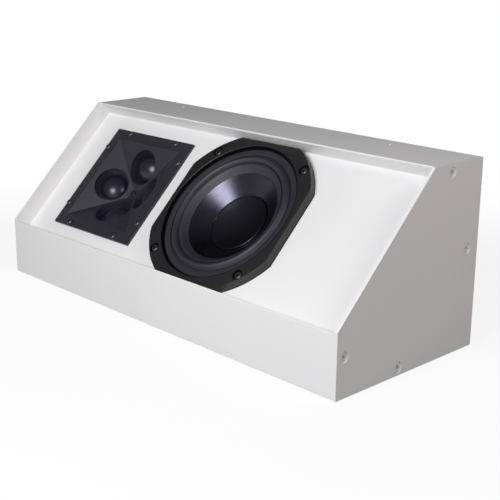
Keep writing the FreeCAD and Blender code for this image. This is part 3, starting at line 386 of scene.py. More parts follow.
# %% Domes
FACE_TILT, BORE_SPREAD, BORE_LEVEL, DOME_STEPS = np.radians(23.75), 28.0, -7.18, 96
lean_cos, lean_sin = np.cos(FACE_TILT), np.sin(FACE_TILT)
LEAN_IN = np.array([[lean_cos, 0, lean_sin], [0, 1, 0], [-lean_sin, 0, lean_cos]])


def bore_frame(quarter):
    """The frame of a bore: out along X by its spread, leant inwards, then turned by quarters of a
    full turn about the plate's axis. Each move is one product with a matrix of rows."""
    cos, sin = np.cos(np.pi / 2 * quarter), np.sin(np.pi / 2 * quarter)
    spin = np.array([[cos, sin, 0], [-sin, cos, 0], [0, 0, 1]])
    middle = np.array([BORE_SPREAD, 0, BORE_LEVEL]) @ spin
    return middle @ POD[1] + POD[0], LEAN_IN @ spin @ POD[1]


SIDES = ("right", "top", "left", "bottom")
bores = {side: bore_frame(quarter) for quarter, side in enumerate(SIDES)}
for side, bore in bores.items():
    add_piece(f"tweeter_{side}_soft_dome", grid_mesh("dome", turn(dome_profile, bore, DOME_STEPS)),
              "dome_film", f"tweeter_{side}_dome")

# %% [markdown]
# The wall of each bore narrows towards its dome in fine steps. Loop cuts in the plate could make them,
# but the plate is a CAD solid and stays as it is. So a thin liner lies in each bore: a flight of stairs
# carried round the bore's axis. All four are one mesh.

# %% Stepped liners
BORE_R, LINER_LIP, LINER_R, LINER_TOP, LINER_GAP = 18.95, 0.25, 17.5, -2.0, 0.6
STAIRS, LINER_STEPS = 4, 72
liner_foot = DOME_BASE + LINER_GAP
tread = np.linspace(BORE_R - LINER_LIP, LINER_R, STAIRS)
riser = np.linspace(LINER_TOP, liner_foot, STAIRS + 1)
levels = np.stack([riser[:-1], riser[1:]], axis=1).ravel()
flight = np.stack([np.repeat(tread, 2), levels], axis=1)
liner_back = [[BORE_R, liner_foot], [BORE_R, riser[0]], [tread[0], riser[0]]]
liner = np.concatenate([flight, liner_back])
liner_points = np.concatenate([turn(liner, bore, LINER_STEPS) for bore in bores.values()])
liners = add_piece("tweeter_bore_liners", grid_mesh("liners", liner_points), "black_moulding")

# %% [markdown]
# ## Screws
#
# Most of the screws are driven by a hexagon sunk in the head, and those of the terminal cup by a cross.
# A boolean cut would make such recesses, but it leaves untidy faces round them. In polar terms the edge
# of a hexagon is half its flat width over the cosine of the angle from the nearest flat, so a ring of
# points can be hexagonal or round by its radius at each angle, and a stack of rings is a whole screw.

# %% Screw helpers
HEX_POINTS, CROSS_POINTS, AXIS_GUARD = 48, 96, 1e-3
# The rings of a recess, as shares of its edge and of its depth. The first is the drill's point.
RECESS_RADII, RECESS_DEPTHS = (0.0, 0.55, 0.94, 1.0, 1.07), (1.12, 1.0, 1.0)
RECESS_CHAMFER = 0.12


def hexagon(across_flats, angle):
    """Half the flat width over the cosine of the angle from the middle of the nearest flat."""
    return across_flats / 2 / np.cos((angle + np.pi / 6) % (np.pi / 3) - np.pi / 6)


def cross(arm, width, angle):
    """The arm's length near each axis; beside it, half the width over the sine of the angle."""
    near = np.abs((angle + np.pi / 4) % (np.pi / 2) - np.pi / 4)
    return np.minimum(arm, width / 2 / np.maximum(np.sin(near), AXIS_GUARD))


def screw_set(spots, head_mm, edge, depth):
    """Screws at spots: a recess with that edge round it, sunk to a depth, then the head and shank as
    round rings of (radius, level). The last ring closes on the axis."""
    angle = ring(len(edge))
    head = np.array(head_mm)
    top = head[0, 1]
    radii = [edge * part for part in RECESS_RADII] + [np.full(len(edge), r) for r in head[:, 0]]
    levels = [top - depth * part for part in RECESS_DEPTHS] + [top - RECESS_CHAMFER, top]
    radii = np.array(radii + [0 * edge])
    levels = np.array(levels + [*head[:, 1], head[-1, 1]])[:, None] + 0 * edge
    one = np.stack([radii * np.cos(angle), radii * np.sin(angle), levels], axis=-1)
    return np.stack([carry(one, spot) for spot in spots])


def shifted(where, spots_mm):
    """One frame for each spot, given in the frame's own millimetres."""
    return [(np.array(spot, float) @ where[1] + where[0], where[1]) for spot in spots_mm]


BOTH = (1, -1)
HEX_RING, CROSS_RING = ring(HEX_POINTS), ring(CROSS_POINTS)
print("a hexagon is", round(2 * hexagon(1.0, HEX_RING).max(), 3), "flat widths across its corners")

# %% [markdown]
# Four cap head screws hold the woofer, eight pan heads the tweeters' plate, and one more at the bottom
# of its pyramid pulls the clamp behind it. Each head is a short list of radii and levels.

# %% Driver screws
BOLT, HEAD_SEAT, CAP_HEX, CAP_SINK = 57.28, 3.9, 3.4, 2.2
CAP_HEAD = [(2.5, 4.0), (3.0, 3.88), (3.4, 3.55), (3.65, 3.1), (3.7, 2.6), (3.7, 0.0), (2.0, 0.0),
            (2.0, -14.0)]
woofer_spots = shifted(WOOFER, [(a * BOLT, b * BOLT, HEAD_SEAT) for a in BOTH for b in BOTH])
cap_screws = screw_set(woofer_spots, CAP_HEAD, hexagon(CAP_HEX, HEX_RING), CAP_SINK)
add_piece("woofer_cap_screws", grid_mesh("cap_screws", cap_screws), "black_steel_screws",
          "woofer_screws")

POD_FRONT, POD_EDGE, POD_SPREAD, PAN_HEX, PAN_SINK = 2.5, 58.0, 37.3, 2.2, 1.3
PAN_HEAD = [(1.9, 2.25), (2.5, 1.95), (2.95, 1.45), (3.2, 0.7), (3.2, 0.0), (1.5, 0.0), (1.5, -9.0)]
pod_spots = [(a * POD_EDGE, b * POD_SPREAD, POD_FRONT) for a in BOTH for b in BOTH]
pod_spots += [(a * POD_SPREAD, b * POD_EDGE, POD_FRONT) for a in BOTH for b in BOTH]
pan_screws = screw_set(shifted(POD, pod_spots), PAN_HEAD, hexagon(PAN_HEX, HEX_RING), PAN_SINK)
add_piece("tweeter_pan_screws", grid_mesh("pan_screws", pan_screws), "black_steel_screws",
          "tweeter_plate_screws")

PYRAMID_HALF, CLAMP_HEX, CLAMP_SINK = 44.5, 2.8, 1.6
CLAMP_HEAD = [(2.5, 2.6), (3.2, 2.4), (3.5, 1.9), (3.5, 0.0), (2.0, 0.0), (2.0, -27.0)]
clamp_seat = POD_FRONT - PYRAMID_HALF * np.tan(FACE_TILT)
clamp_spots = shifted(POD, [(0, 0, clamp_seat)])
clamp_screw = screw_set(clamp_spots, CLAMP_HEAD, hexagon(CLAMP_HEX, HEX_RING), CLAMP_SINK)
add_piece("tweeter_centre_screw", grid_mesh("centre_screw", clamp_screw), "black_steel_screws",
          "tweeter_clamp_screw")

# %% [markdown]
# The screws of the end plates and of the top are countersunk and painted over, and those of the ends
# are driven a little below the sheet. The terminal cup has four small screws with a cross.

# %% Cabinet screws
END_X, END_HEX, END_SINK = 230.0, 3.2, 2.0
END_SPOTS = [(47.245, 163.49), (75.245, 92.5), (-81.745, 35.0), (-12.745, 7.0)]
SUNK_HEAD = [(3.6, -0.9), (3.95, -0.95), (4.05, -1.05), (2.5, -2.6), (2.5, -16.0)]
for side, sign in (("left", -1), ("right", 1)):
    end = [frame_at((sign * END_X, y, z), (0, sign, 0), (0, 0, 1), (sign, 0, 0)) for y, z in END_SPOTS]
    end_screws = screw_set(end, SUNK_HEAD, hexagon(END_HEX, HEX_RING), END_SINK)
    add_piece(f"end_socket_screws_{side}", grid_mesh("end_screws", end_screws),
              "white_painted_screws", f"end_screws_{side}")

TOP_X, TOP_Y, TOP_LEVEL, TOP_HEX, TOP_SINK = 142.5, 72.545, 170.99, 2.6, 1.5
TOP_HEAD = [(3.4, 0.0), (3.75, -0.1), (3.8, -0.25), (2.0, -2.0), (2.0, -10.0)]
top = [frame_at((a * TOP_X, TOP_Y, TOP_LEVEL), (1, 0, 0), (0, 1, 0), (0, 0, 1)) for a in BOTH]
top_screws = screw_set(top, TOP_HEAD, hexagon(TOP_HEX, HEX_RING), TOP_SINK)
add_piece("top_socket_screws", grid_mesh("top_screws", top_screws), "white_painted_screws",
          "top_screws")

CUP_X, CUP_Y, CUP_Z, CUP_HALF_X, CUP_HALF_Z = 160.0, 90.245, 90.0, 39.0, 29.0
CUP_ARM, CUP_SLIT, CUP_SINK = 1.6, 0.7, 1.1
CUP_HEAD = [(2.6, 0.0), (2.85, -0.1), (2.9, -0.25), (1.5, -1.6), (1.5, -10.0)]
FACING_BACK = ((-1, 0, 0), (0, 0, 1), (0, 1, 0))
cup = [frame_at((CUP_X + a * CUP_HALF_X, CUP_Y, CUP_Z + b * CUP_HALF_Z), *FACING_BACK)
       for a in BOTH for b in BOTH]
cup_screws = screw_set(cup, CUP_HEAD, cross(CUP_ARM, CUP_SLIT, CROSS_RING), CUP_SINK)
add_piece("terminal_cross_screws", grid_mesh("terminal_screws", cup_screws), "stainless_screws",
          "terminal_screws")

# %% [markdown]
# ## Binding posts
#
# On the back, two posts stand in a moulded cup. A post's knob is gripped with bare fingers, so it is
# fluted. Small cylinders could be cut out of it one by one, but the flutes are a wave: the radius of
# the profile falls and rises round the axis by a cosine, where the profile asks for it.

# %% Binding posts
POST_Y, POST_SPREAD = 62.25, 14.0
FLUTES, FLUTE_DEPTH, KNOB_R, KNOB_LENGTH, STUD_R, TAIL = 18, 0.35, 5.5, 14.0, 2.0, 11.5
KNOB_STEPS = 144
# Radius, level and share of the fluting: the plug in the knob's end with a groove round it, the grip,
# the neck, the foot, and the stud that goes through the cup.
KNOB = np.array([
    (0.0, KNOB_LENGTH, 0), (1.9, KNOB_LENGTH, 0), (2.1, KNOB_LENGTH - 1.2, 0),
    (2.5, KNOB_LENGTH - 1.2, 0), (2.7, KNOB_LENGTH - 0.2, 0), (4.2, KNOB_LENGTH - 0.2, 0),
    (5.0, KNOB_LENGTH - 0.7, 0), (KNOB_R, KNOB_LENGTH - 1.6, 1), (KNOB_R, 4.4, 1),
    (4.9, 3.8, 0), (4.4, 3.6, 0), (4.4, 2.4, 0),
    (KNOB_R, 2.2, 0), (KNOB_R, 0.2, 0), (KNOB_R - 0.2, 0.0, 0),
    (STUD_R, 0.0, 0), (STUD_R, -TAIL, 0), (0.0, -TAIL, 0)])


def fluted(profile_mm, where, steps):
    """A profile of (radius, level, share) turned round Z; share times depth times (1 - cos n a) comes
    off the radius, where n is the number of flutes."""
    angle = ring(steps)
    radius = profile_mm[:, :1] - profile_mm[:, 2:] * FLUTE_DEPTH * (1 - np.cos(FLUTES * angle))
    level = np.broadcast_to(profile_mm[:, 1:2], radius.shape)
    points = np.stack([radius * np.cos(angle), radius * np.sin(angle), level], axis=-1)
    return carry(points, where)[None]


for name, way, slot in (("positive", -1, "red_post_cap"), ("negative", 1, "black_post_cap")):
    post = frame_at((CUP_X + way * POST_SPREAD, POST_Y, CUP_Z), *FACING_BACK)
    add_piece(f"fluted_post_{name}", grid_mesh("post", fluted(KNOB, post, KNOB_STEPS)), slot,
              f"binding_post_{name}")

# %% [markdown]
# ## Damping pad
#
# A pad of wadding lies against the back panel, inside the closed box. It is cut from a soft sheet: flat
# where it touches the panel, crowned and uneven on the other side. A cloth simulation could plump it
# up, but nothing presses on it, so a formula is enough. A grid over the pad gives both faces: the
# front one rises by the root of a product of two flat-topped bows, one for each direction.

# %% Pad faces
PAD_LOW, PAD_HIGH = np.array([-204.0, 15.5]), np.array([84.0, 125.5])
PAD_BACK, PAD_THICK, PAD_RIM, LUMP, RIM_PULL = 87.2, 17.0, 0.3, 1.6, 0.012
PAD_COLUMNS, PAD_ROWS, FLATNESS_X, FLATNESS_Z = 73, 41, 10, 8
# Waves of the lumps, in radians from the middle of the pad to its edge, along it and up it.
LONG_WAVE, CROSS_WAVE, TWIST_WAVE, TWIST_START = (7.3, 2.1), (3.3, 4.1), 11.7, 1.3
across, upward = np.meshgrid(np.linspace(-1, 1, PAD_COLUMNS), np.linspace(-1, 1, PAD_ROWS),
                             indexing="ij")
crown = ((1 - across ** FLATNESS_X) * (1 - upward ** FLATNESS_Z)) ** 0.5
lumps = (np.sin(LONG_WAVE[0] * across + LONG_WAVE[1] * upward)
         * np.cos(CROSS_WAVE[1] * upward - CROSS_WAVE[0] * across)
         + np.sin(TWIST_WAVE * across * upward + TWIST_START))
pull = 1 - RIM_PULL * (1 - crown)
pad_x = (PAD_LOW[0] + PAD_HIGH[0]) / 2 + across * (PAD_HIGH[0] - PAD_LOW[0]) / 2 * pull
pad_z = (PAD_LOW[1] + PAD_HIGH[1]) / 2 + upward * (PAD_HIGH[1] - PAD_LOW[1]) / 2 * pull
face_y = PAD_BACK - PAD_RIM - crown * (PAD_THICK - LUMP + LUMP / 2 * lumps * crown)
back_y = np.full_like(face_y, PAD_BACK)
faces = np.stack([np.stack([pad_x, y, pad_z], axis=-1) for y in (face_y, back_y)]) * MM
print("pad is up to", round(PAD_BACK - face_y.min(), 1), "mm thick")

# %% [markdown]
# The two faces are grids of the same size, so a quad of the one and the quad of the other differ by a
# fixed number of points. A wall of quads round the rim closes the pad.

# %% Damping pad
cells = np.arange(faces[0, ..., 0].size).reshape(faces.shape[1:3])
quads = np.stack([cells[:-1, :-1], cells[1:, :-1], cells[1:, 1:], cells[:-1, 1:]], axis=-1)
quads = quads.reshape(-1, 4)
rim = np.concatenate([cells[:-1, 0], cells[-1, :-1], cells[:0:-1, -1], cells[0, :0:-1]])
ahead = np.roll(rim, -1)
walls = np.stack([rim, ahead, ahead + cells.size, rim + cells.size], axis=-1)
pad_mesh = bpy.data.meshes.new("pad")
pad_mesh.from_pydata(faces.reshape(-1, 3), [], np.concatenate([quads, quads + cells.size, walls]))
outward(pad_mesh, SOFT_CREASE)
pad = add_piece("damping_wadding", pad_mesh, "wadding", "damping_pad")

# %% [markdown]
# ## Finishes
#
# Every finish is worked out from what the real material is and how its surface was made. A finish here
# has two scales: broad, faint patches in the colour, and a fine grain that moves the roughness and
# lifts the surface. Painted image textures could hold both, but noise that reads the object's own
# coordinates needs no unwrapping and is sized in millimetres. A pixel of the picture is about a
# millimetre, so a grain that is finer than that is drawn at one to four millimetres.

# %% Node helpers
def linear(code):
    """A hex colour as written for a screen, turned to the linear values that shaders use: a straight
    line for the darkest values, and a power of 2.4 above it."""
    part = np.array([int(code[k:k + 2], 16) for k in (1, 3, 5)]) / 255
    values = np.where(part <= 0.04045, part / 12.92, ((part + 0.055) / 1.055) ** 2.4)
    return (*values.tolist(), 1.0)


def add(tree, kind, inputs=None, **settings):
    """Add a node with its settings; an input takes a value, or another node's output as a link."""
    node = tree.nodes.new(kind)
    for key, value in settings.items():
        setattr(node, key, value)
    for key, value in (inputs or {}).items():
        if isinstance(value, bpy.types.NodeSocket):
            tree.links.new(value, node.inputs[key])
        else:
            node.inputs[key].default_value = value
    return node


def empty_tree(holder):
    """The node tree of a material or a world, switched on and with nothing in it."""
    holder.use_nodes = True
    holder.node_tree.nodes.clear()
    return holder.node_tree


COORDINATES, NOISE, MIX = "ShaderNodeTexCoord", "ShaderNodeTexNoise", "ShaderNodeMixRGB"
RANGE, MATH, VECTOR = "ShaderNodeMapRange", "ShaderNodeMath", "ShaderNodeVectorMath"
print("half grey on a screen is", round(linear("#808080")[0], 3), "of the light")

# %% [markdown]
# One function makes every finish of the speaker, because they differ only in numbers. What is the same
# all over a surface, such as how metallic it is, goes straight on to the shader.

# %% Finish
PATCH_DETAIL, GRAIN_DETAIL = 3.0, 2.0
# Nearly all of a noise lies between these two values.
NOISE_LOW, NOISE_HIGH = 0.3, 0.7


def finish(name, dark, light, patch_mm, grain_mm, rough, lift_mm, **shader):
    """Colour drifts between two hex values over patch_mm. A grain of grain_mm moves the roughness
    between two values and lifts the surface by lift_mm. A noise's scale is one over its size."""
    material = bpy.data.materials.new(name)
    tree = empty_tree(material)
    spot = add(tree, COORDINATES).outputs["Object"]
    patch = add(tree, NOISE, {"Vector": spot, "Scale": 1 / (patch_mm * MM), "Detail": PATCH_DETAIL})
    grain = add(tree, NOISE, {"Vector": spot, "Scale": 1 / (grain_mm * MM), "Detail": GRAIN_DETAIL})
    colour = add(tree, MIX, {"Fac": patch.outputs["Fac"], "Color1": linear(dark),
                             "Color2": linear(light)})
    dull = add(tree, RANGE, {"Value": grain.outputs["Fac"], "From Min": NOISE_LOW,
                             "From Max": NOISE_HIGH, "To Min": rough[0], "To Max": rough[1]})
    lift = add(tree, "ShaderNodeBump", {"Height": grain.outputs["Fac"], "Distance": lift_mm * MM})
    skin = add(tree, "ShaderNodeBsdfPrincipled", {
        "Base Color": colour.outputs[0], "Roughness": dull.outputs["Result"],
        "Normal": lift.outputs["Normal"], **shader})
    add(tree, "ShaderNodeOutputMaterial", {"Surface": skin.outputs["BSDF"]})
    return material


print("noise is read between", NOISE_LOW, "and", NOISE_HIGH)

# %% [markdown]
# The cabinet's powder coat is a plastic baked on to the sheet: it flows a little before it sets, which
# leaves the shallow ripple called orange peel. The bare metals are on small screws and on parts inside
# the box. A metal shows nothing but reflections: its colour tints them, and its roughness blurs them.

# %% Cabinet finishes
CABINET_FINISHES = {
    # Polyester powder baked on sheet: satin, with a shallow ripple, drawn at 4 mm so that it can show.
    "white_powder_coat": finish("white_polyester_powder_coat", "#EAEAEA", "#F1F1F0", 90, 4.0,
                                (0.40, 0.50), 0.015),
    # The same white, brushed over the screw heads after they were driven: a little glossier.
    "white_painted_screws": finish("white_touch_up_enamel", "#DEDEE0", "#EBEBEC", 4, 1.2,
                                   (0.28, 0.40), 0.01),
    # Stainless steel, turned: bright, its shine a little uneven.
    "stainless_screws": finish("turned_stainless_steel", "#B9B8B8", "#D9D8D8", 3, 0.8,
                               (0.25, 0.38), 0.004, Metallic=1.0),
    # Aluminium bar, milled: pale and even, with a soft shine.
    "plain_aluminium": finish("milled_aluminium", "#C4C5C7", "#D6D7D9", 8, 1.0,
                              (0.30, 0.42), 0.004, Metallic=1.0),
    # Steel with a thin coat of zinc: bluish, in cloudy patches.
    "zinc_steel": finish("zinc_plated_steel", "#B4B8BC", "#CDD1D6", 10, 1.2,
                         (0.28, 0.42), 0.004, Metallic=1.0),
    # Moulded acrylic: clear and glossy, in red and in black for the two posts.
    "red_post_cap": finish("red_acrylic_cap", "#9E1417", "#B91C1F", 6, 1.0, (0.18, 0.28), 0.004),
    "black_post_cap": finish("black_acrylic_cap", "#131315", "#1E1E21", 6, 1.0,
                             (0.18, 0.28), 0.004),
}
print("cabinet finishes", len(CABINET_FINISHES))

# %% [markdown]
# The blacks of the drivers are told apart by their shine: cast metal under paint, rubber, a glossy
# cone, grained plastic and coated silk all have nearly the same dark colour. What differs is how rough
# they are and, through the index of refraction, how much they reflect.

# %% Driver finishes
LAVENDER = linear("#DAD8F4")
DRIVER_FINISHES = {
    # Cast frame under a satin black coat: sandy grain, drawn at 2 mm so that it can show.
    "black_cast_frame": finish("satin_black_cast_metal", "#0D0D0F", "#121215", 25, 2.0,
                               (0.42, 0.52), 0.04, IOR=1.62),
    # Foam rubber, cut from a sheet: dull all over.
    "foam_gasket": finish("closed_cell_foam", "#151515", "#222222", 4, 0.8, (0.80, 0.95), 0.05),
    # Moulded butyl rubber: matt, with a broad violet-grey sheen. Its grain is drawn at 2 mm, to show.
    "surround_rubber": finish("moulded_butyl_rubber", "#1D1C23", "#27252F", 18, 2.0,
                              (0.52, 0.60), 0.01, IOR=1.6),
    # Pressed polypropylene: glossy, barely uneven over 6 mm, with a violet cast in its reflections.
    "cone_polypropylene": finish("glossy_polypropylene", "#020203", "#040405", 30, 6.0,
                                 (0.27, 0.31), 0.002,
                                 **{"IOR": 1.74, "Specular Tint": LAVENDER}),
    # Blackened steel: a dark metal with a dull shine.
    "black_steel_screws": finish("blackened_steel", "#525257", "#68686E", 3, 0.8,
                                 (0.36, 0.44), 0.004, Metallic=0.95),
    # Moulded ABS with a spark-eroded grain, drawn at 2 mm so that it can show.
    "black_moulding": finish("spark_grained_abs", "#1A1821", "#23212B", 20, 2.0,
                             (0.46, 0.54), 0.03, IOR=1.7),
    # Silk with a coat of varnish: smooth, with a soft shine.
    "dome_film": finish("coated_silk_dome", "#1A1722", "#221F2B", 8, 1.5, (0.28, 0.32), 0.002),
}
print("driver finishes", len(DRIVER_FINISHES))

# %% [markdown]
# Inside the box nothing was made to be looked at, so its finishes are those of the bare goods: wire,
# cloth, ferrite, board and film. They show only in a cutaway or when the part is taken apart.

# %% Inner finishes
INNER_FINISHES = {
    # Copper wire under clear enamel: warm and glossy, a little uneven.
    "copper_winding": finish("enamelled_copper_wire", "#9A5A36", "#C47C4C", 2, 0.8,
                             (0.25, 0.40), 0.05, Metallic=1.0),
    # Cotton stiffened with resin: straw brown and dull, with its weave as a grain.
    "spider_cloth": finish("resin_treated_cotton", "#8C6F3F", "#A88A55", 5, 0.8, (0.75, 0.90), 0.05),
    # Pressed and fired iron oxide: dark grey, with a stony look.
    "ferrite_magnet": finish("sintered_ferrite", "#36363A", "#4A4A4E", 6, 0.8, (0.50, 0.70), 0.02),
    # Hard-pressed paper fibre: brown and dull.
    "fibre_strip": finish("pressed_fibre_board", "#4E3626", "#6B4B33", 3, 0.8, (0.60, 0.80), 0.02),
    # Glass fibre board under green lacquer: clear shine over a deep colour.
    "circuit_board": finish("green_solder_mask", "#0F4A26", "#1B6A38", 12, 0.8, (0.30, 0.40), 0.01),
    # Polyester film, wound and wrapped: red-brown, with a soft shine.
    "capacitor_film": finish("wrapped_polyester_film", "#7E1F14", "#A33324", 6, 1.0,
                             (0.30, 0.45), 0.01),
    # Ceramic trough filled with cement: chalky white.
    "resistor_ceramic": finish("cement_filled_ceramic", "#C9C5B8", "#E2DED2", 5, 0.8,
                               (0.70, 0.85), 0.03),
    # Polyester fibres, laid loose: white, soft and without any shine.
    "wadding": finish("polyester_wadding", "#DAD9D2", "#F0EFEA", 9, 1.5, (0.85, 0.98), 0.6),
}
FINISHES = {**CABINET_FINISHES, **DRIVER_FINISHES, **INNER_FINISHES}
print("finishes by slot", len(FINISHES))

# %% [markdown]
# Three pieces differ from the rest of their slot, so they get a finish of their own first. Then every
# CAD node takes the finish of the slot that its record names, and every new piece that of its own.

# %% Finishes on pieces
# The same plastic as the cone from a finer textured tool: satin, for the cap alone.
cap_dish.data.materials.append(finish("satin_polypropylene", "#020203", "#040405", 30, 1.5,
                                      (0.27, 0.33), 0.01,
                                      **{"IOR": 1.65, "Specular Tint": LAVENDER}))
# The bores were polished after the grain was put on: smoother, with a soft shine, again at 2 mm. Their
# colour is lighter than the plate's: painted light that lifts the shade deep in the bores.
liners.data.materials.append(finish("polished_abs_bore_painted_light", "#211F29", "#2C2934", 20, 2.0,
                                    (0.38, 0.46), 0.01))
# Painted shade for the gap: near-black and matt, so that it swallows nearly all light.
painted_shade_ring.data.materials.append(finish("painted_shade_black", "#050505", "#090909", 6, 1.0,
                                       (0.90, 1.0), 0.02, IOR=1.2))
slot_of = {row["node"]: row["material_slot"] for row in frame["record"]["subparts"]}
for node_name, node in NODES.items():
    node.data.materials.clear()
    node.data.materials.append(FINISHES[slot_of[node_name]])
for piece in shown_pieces():
    if "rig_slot" in piece and not piece.data.materials:
        piece.data.materials.append(FINISHES[piece["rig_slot"]])
print("CAD nodes with a finish", len(NODES))

# %% [markdown]
# ## Studio
#
# One large soft box stands in front, a little to the right and above, and a smaller one high at the
# right. A third, low behind the left end, lights only what this camera does not see, so that the
# speaker can be looked at from behind. Spot lamps or a sun would be simpler, but they draw hard edges,
# and the glossy cone and domes would show them as points instead of soft ovals.

# %% Lamps
TARGET = np.array([0.0, -0.01, 0.09])


def stand(holder, axes, position):
    """Put an object in its place: one matrix whose columns are its X, Y and Z axes and its position."""
    matrix = np.eye(4)
    matrix[:3, :3] = np.stack(axes, axis=1)
    matrix[:3, 3] = position
    holder.matrix_world = Matrix(matrix)


def soft_box(name, position, width, height, radiance, colour):
    """An oval lamp that faces the speaker; its power is radiance times its area times pi."""
    lamp = bpy.data.lights.new(name, "AREA")
    lamp.shape, lamp.size, lamp.size_y, lamp.color = "ELLIPSE", width, height, linear(colour)[:3]
    lamp.energy = radiance * np.pi / 4 * width * height * np.pi
    away = np.array(position) - TARGET
    away /= np.linalg.norm(away)
    side = np.cross(Z_AXIS, away)
    side /= np.linalg.norm(side)
    stand(place(name, lamp), (side, np.cross(away, side), away), position)
    print(name, "power", round(lamp.energy, 1), "W")


soft_box("front_soft_box", (0.21, -0.90, 0.575), width=0.46, height=0.46, radiance=15.4,
         colour="#FDFCFF")
soft_box("right_soft_box", (0.865, 0.03, 0.645), width=0.34, height=0.34, radiance=8.0,
         colour="#FFF8F6")
soft_box("back_soft_box", (-0.90, 1.00, 0.08), width=0.90, height=0.13, radiance=22.0,
         colour="#FFFFFF")

# %% [markdown]
# The speaker stands on a sheet of white paper. A plane with a white material would be the plain way,
# but paper that is as white to every ray throws too much light back at the speaker. So it is white to
# the camera and in reflections, and grey to scattered light.

# %% Paper
PAPER_SIZE, PAPER_LEVEL = 30.0, -0.0005
corners = np.array([[-1, -1, 0], [1, -1, 0], [1, 1, 0], [-1, 1, 0]]) * PAPER_SIZE
floor_mesh = bpy.data.meshes.new("paper")
floor_mesh.from_pydata((corners + [0, 0, PAPER_LEVEL]).tolist(), [], [(0, 1, 2, 3)])
floor = place("paper_floor", floor_mesh)
print("paper", 2 * PAPER_SIZE, "m wide")

# %% [markdown]
# Far out the paper glows at exactly white. Near the speaker a share of it is lit by the lamps instead,
# which keeps a faint shadow under the box.

# %% Paper finish
WHITE, PAPER_GREY = linear("#FFFFFF"), linear("#8E8E8E")
SHADOW_SHARE, SHADOW_NEAR, SHADOW_FAR = 0.14, 0.3, 0.65
paper = bpy.data.materials.new("white_paper_sweep")
tree = empty_tree(paper)
ray = add(tree, "ShaderNodeLightPath").outputs
seen = add(tree, MATH, {0: ray["Is Camera Ray"], 1: ray["Is Glossy Ray"]},
           operation="MAXIMUM").outputs[0]
seen = add(tree, MATH, {0: seen, 1: ray["Is Transmission Ray"]}, operation="MAXIMUM").outputs[0]
spot = add(tree, COORDINATES).outputs["Object"]
apart = add(tree, VECTOR, {0: spot}, operation="LENGTH").outputs["Value"]
plain = add(tree, RANGE, {"Value": apart, "From Min": SHADOW_NEAR, "From Max": SHADOW_FAR,
                          "To Min": 1 - SHADOW_SHARE, "To Max": 1.0},
            interpolation_type="SMOOTHSTEP").outputs[0]
glowing = add(tree, MATH, {0: seen, 1: plain}, operation="MULTIPLY").outputs[0]
tone = add(tree, MIX, {"Fac": seen, "Color1": PAPER_GREY, "Color2": WHITE})
matt = add(tree, "ShaderNodeBsdfDiffuse", {"Color": tone.outputs[0]})
glow = add(tree, "ShaderNodeEmission", {"Color": WHITE, "Strength": 1.0})
both = add(tree, "ShaderNodeMixShader", {0: glowing, 1: matt.outputs[0], 2: glow.outputs[0]})
add(tree, "ShaderNodeOutputMaterial", {"Surface": both.outputs[0]})
floor_mesh.materials.append(paper)
print("the lamps light", SHADOW_SHARE, "of the paper near the speaker")

# %% [markdown]
# Behind the speaker the paper goes on upwards, and round about is a dim room: grey in front, where the
# large lamp lights it, and nearly black behind, which keeps the black drivers black. Walls could be
# modelled for it, but the world's colour can stand for both. It is white to the camera all round. In
# reflections it shows the room, and the paper a little dimmer, low down on the side beyond the speaker.

# %% Room
ROOM_DARK, ROOM_LIGHT, ROOM_WAY, ROOM_SPAN = 0.002, 0.24, (0.20, -0.85, 0.49), (0.0, 0.8)
world = bpy.data.worlds.new("studio")
bpy.context.scene.world = world
tree = empty_tree(world)
ray = add(tree, "ShaderNodeLightPath").outputs
way = add(tree, COORDINATES).outputs["Generated"]
facing = add(tree, VECTOR, {0: way, 1: ROOM_WAY}, operation="DOT_PRODUCT").outputs["Value"]
room = add(tree, RANGE, {"Value": facing, "From Min": ROOM_SPAN[0], "From Max": ROOM_SPAN[1],
                         "To Min": ROOM_DARK, "To Max": ROOM_LIGHT}).outputs[0]
print("room level", ROOM_DARK, "to", ROOM_LIGHT)

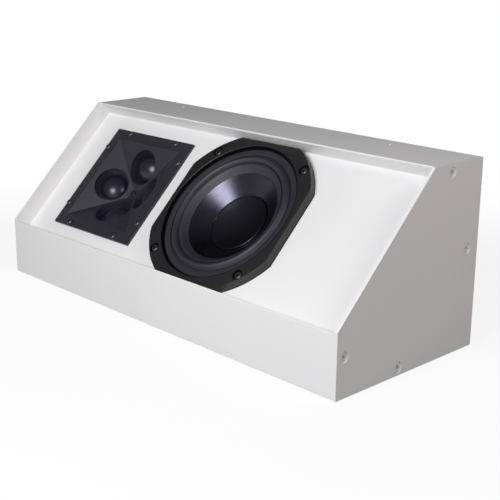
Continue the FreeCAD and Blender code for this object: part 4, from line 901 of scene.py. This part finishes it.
# %% World
AZIMUTH, ELEVATION, ROLL = np.radians([46.043, 16.522, 0.505])
SWEEP, SWEEP_SIDE, SWEEP_HEIGHT = 0.7, (0.25, 0.6), (0.12, 0.05)
BEYOND = (-np.sin(AZIMUTH), np.cos(AZIMUTH), 0.0)
behind = add(tree, VECTOR, {0: way, 1: BEYOND}, operation="DOT_PRODUCT").outputs["Value"]
sweep = add(tree, RANGE, {"Value": behind, "From Min": SWEEP_SIDE[0], "From Max": SWEEP_SIDE[1],
                          "To Max": SWEEP}).outputs[0]
height = add(tree, "ShaderNodeSeparateXYZ", {0: way}).outputs["Z"]
low = add(tree, RANGE, {"Value": height, "From Min": SWEEP_HEIGHT[0],
                        "From Max": SWEEP_HEIGHT[1]}).outputs[0]
sweep = add(tree, MATH, {0: sweep, 1: low}, operation="MULTIPLY").outputs[0]
mirrored = add(tree, MATH, {0: ray["Is Glossy Ray"], 1: ray["Is Transmission Ray"]},
               operation="MAXIMUM").outputs[0]
mirrored = add(tree, MATH, {0: mirrored, 1: sweep}, operation="MULTIPLY").outputs[0]
level = add(tree, MATH, {0: mirrored, 1: ray["Is Camera Ray"]}, operation="MAXIMUM").outputs[0]
level = add(tree, MATH, {0: level, 1: room}, operation="MAXIMUM").outputs[0]
sky = add(tree, "ShaderNodeBackground", {"Color": WHITE, "Strength": level})
add(tree, "ShaderNodeOutputWorld", {"Surface": sky.outputs[0]})
bpy.context.scene.view_settings.view_transform = "Standard"
print("paper beyond the speaker is mirrored at", SWEEP)

# %% [markdown]
# ## Camera
#
# The speaker is seen from the right front, through a long lens. A camera can be aimed by eye, but the
# corners of a box give its place exactly, so it was solved from the nine corners that the photograph
# shows. It is rolled by half a degree.

# %% Camera
FOCAL_PX, IMAGE_PX, SENSOR_MM = 1054.02, 500, 36.0
CAMERA_PLACE = np.array([727.47, -664.05, 347.92]) * MM
back = np.array([np.sin(AZIMUTH) * np.cos(ELEVATION), -np.cos(AZIMUTH) * np.cos(ELEVATION),
                 np.sin(ELEVATION)])
right = np.array([np.cos(AZIMUTH), np.sin(AZIMUTH), 0.0])
up = np.cross(back, right)
rolled_right = np.cos(ROLL) * right + np.sin(ROLL) * up
rolled_up = np.cos(ROLL) * up - np.sin(ROLL) * right
lens = bpy.data.cameras.new("camera")
lens.sensor_width, lens.lens = SENSOR_MM, FOCAL_PX * SENSOR_MM / IMAGE_PX
camera = place("camera", lens)
stand(camera, (rolled_right, rolled_up, back), CAMERA_PLACE)
bpy.context.scene.camera = camera
print("lens", round(lens.lens, 2), "mm")
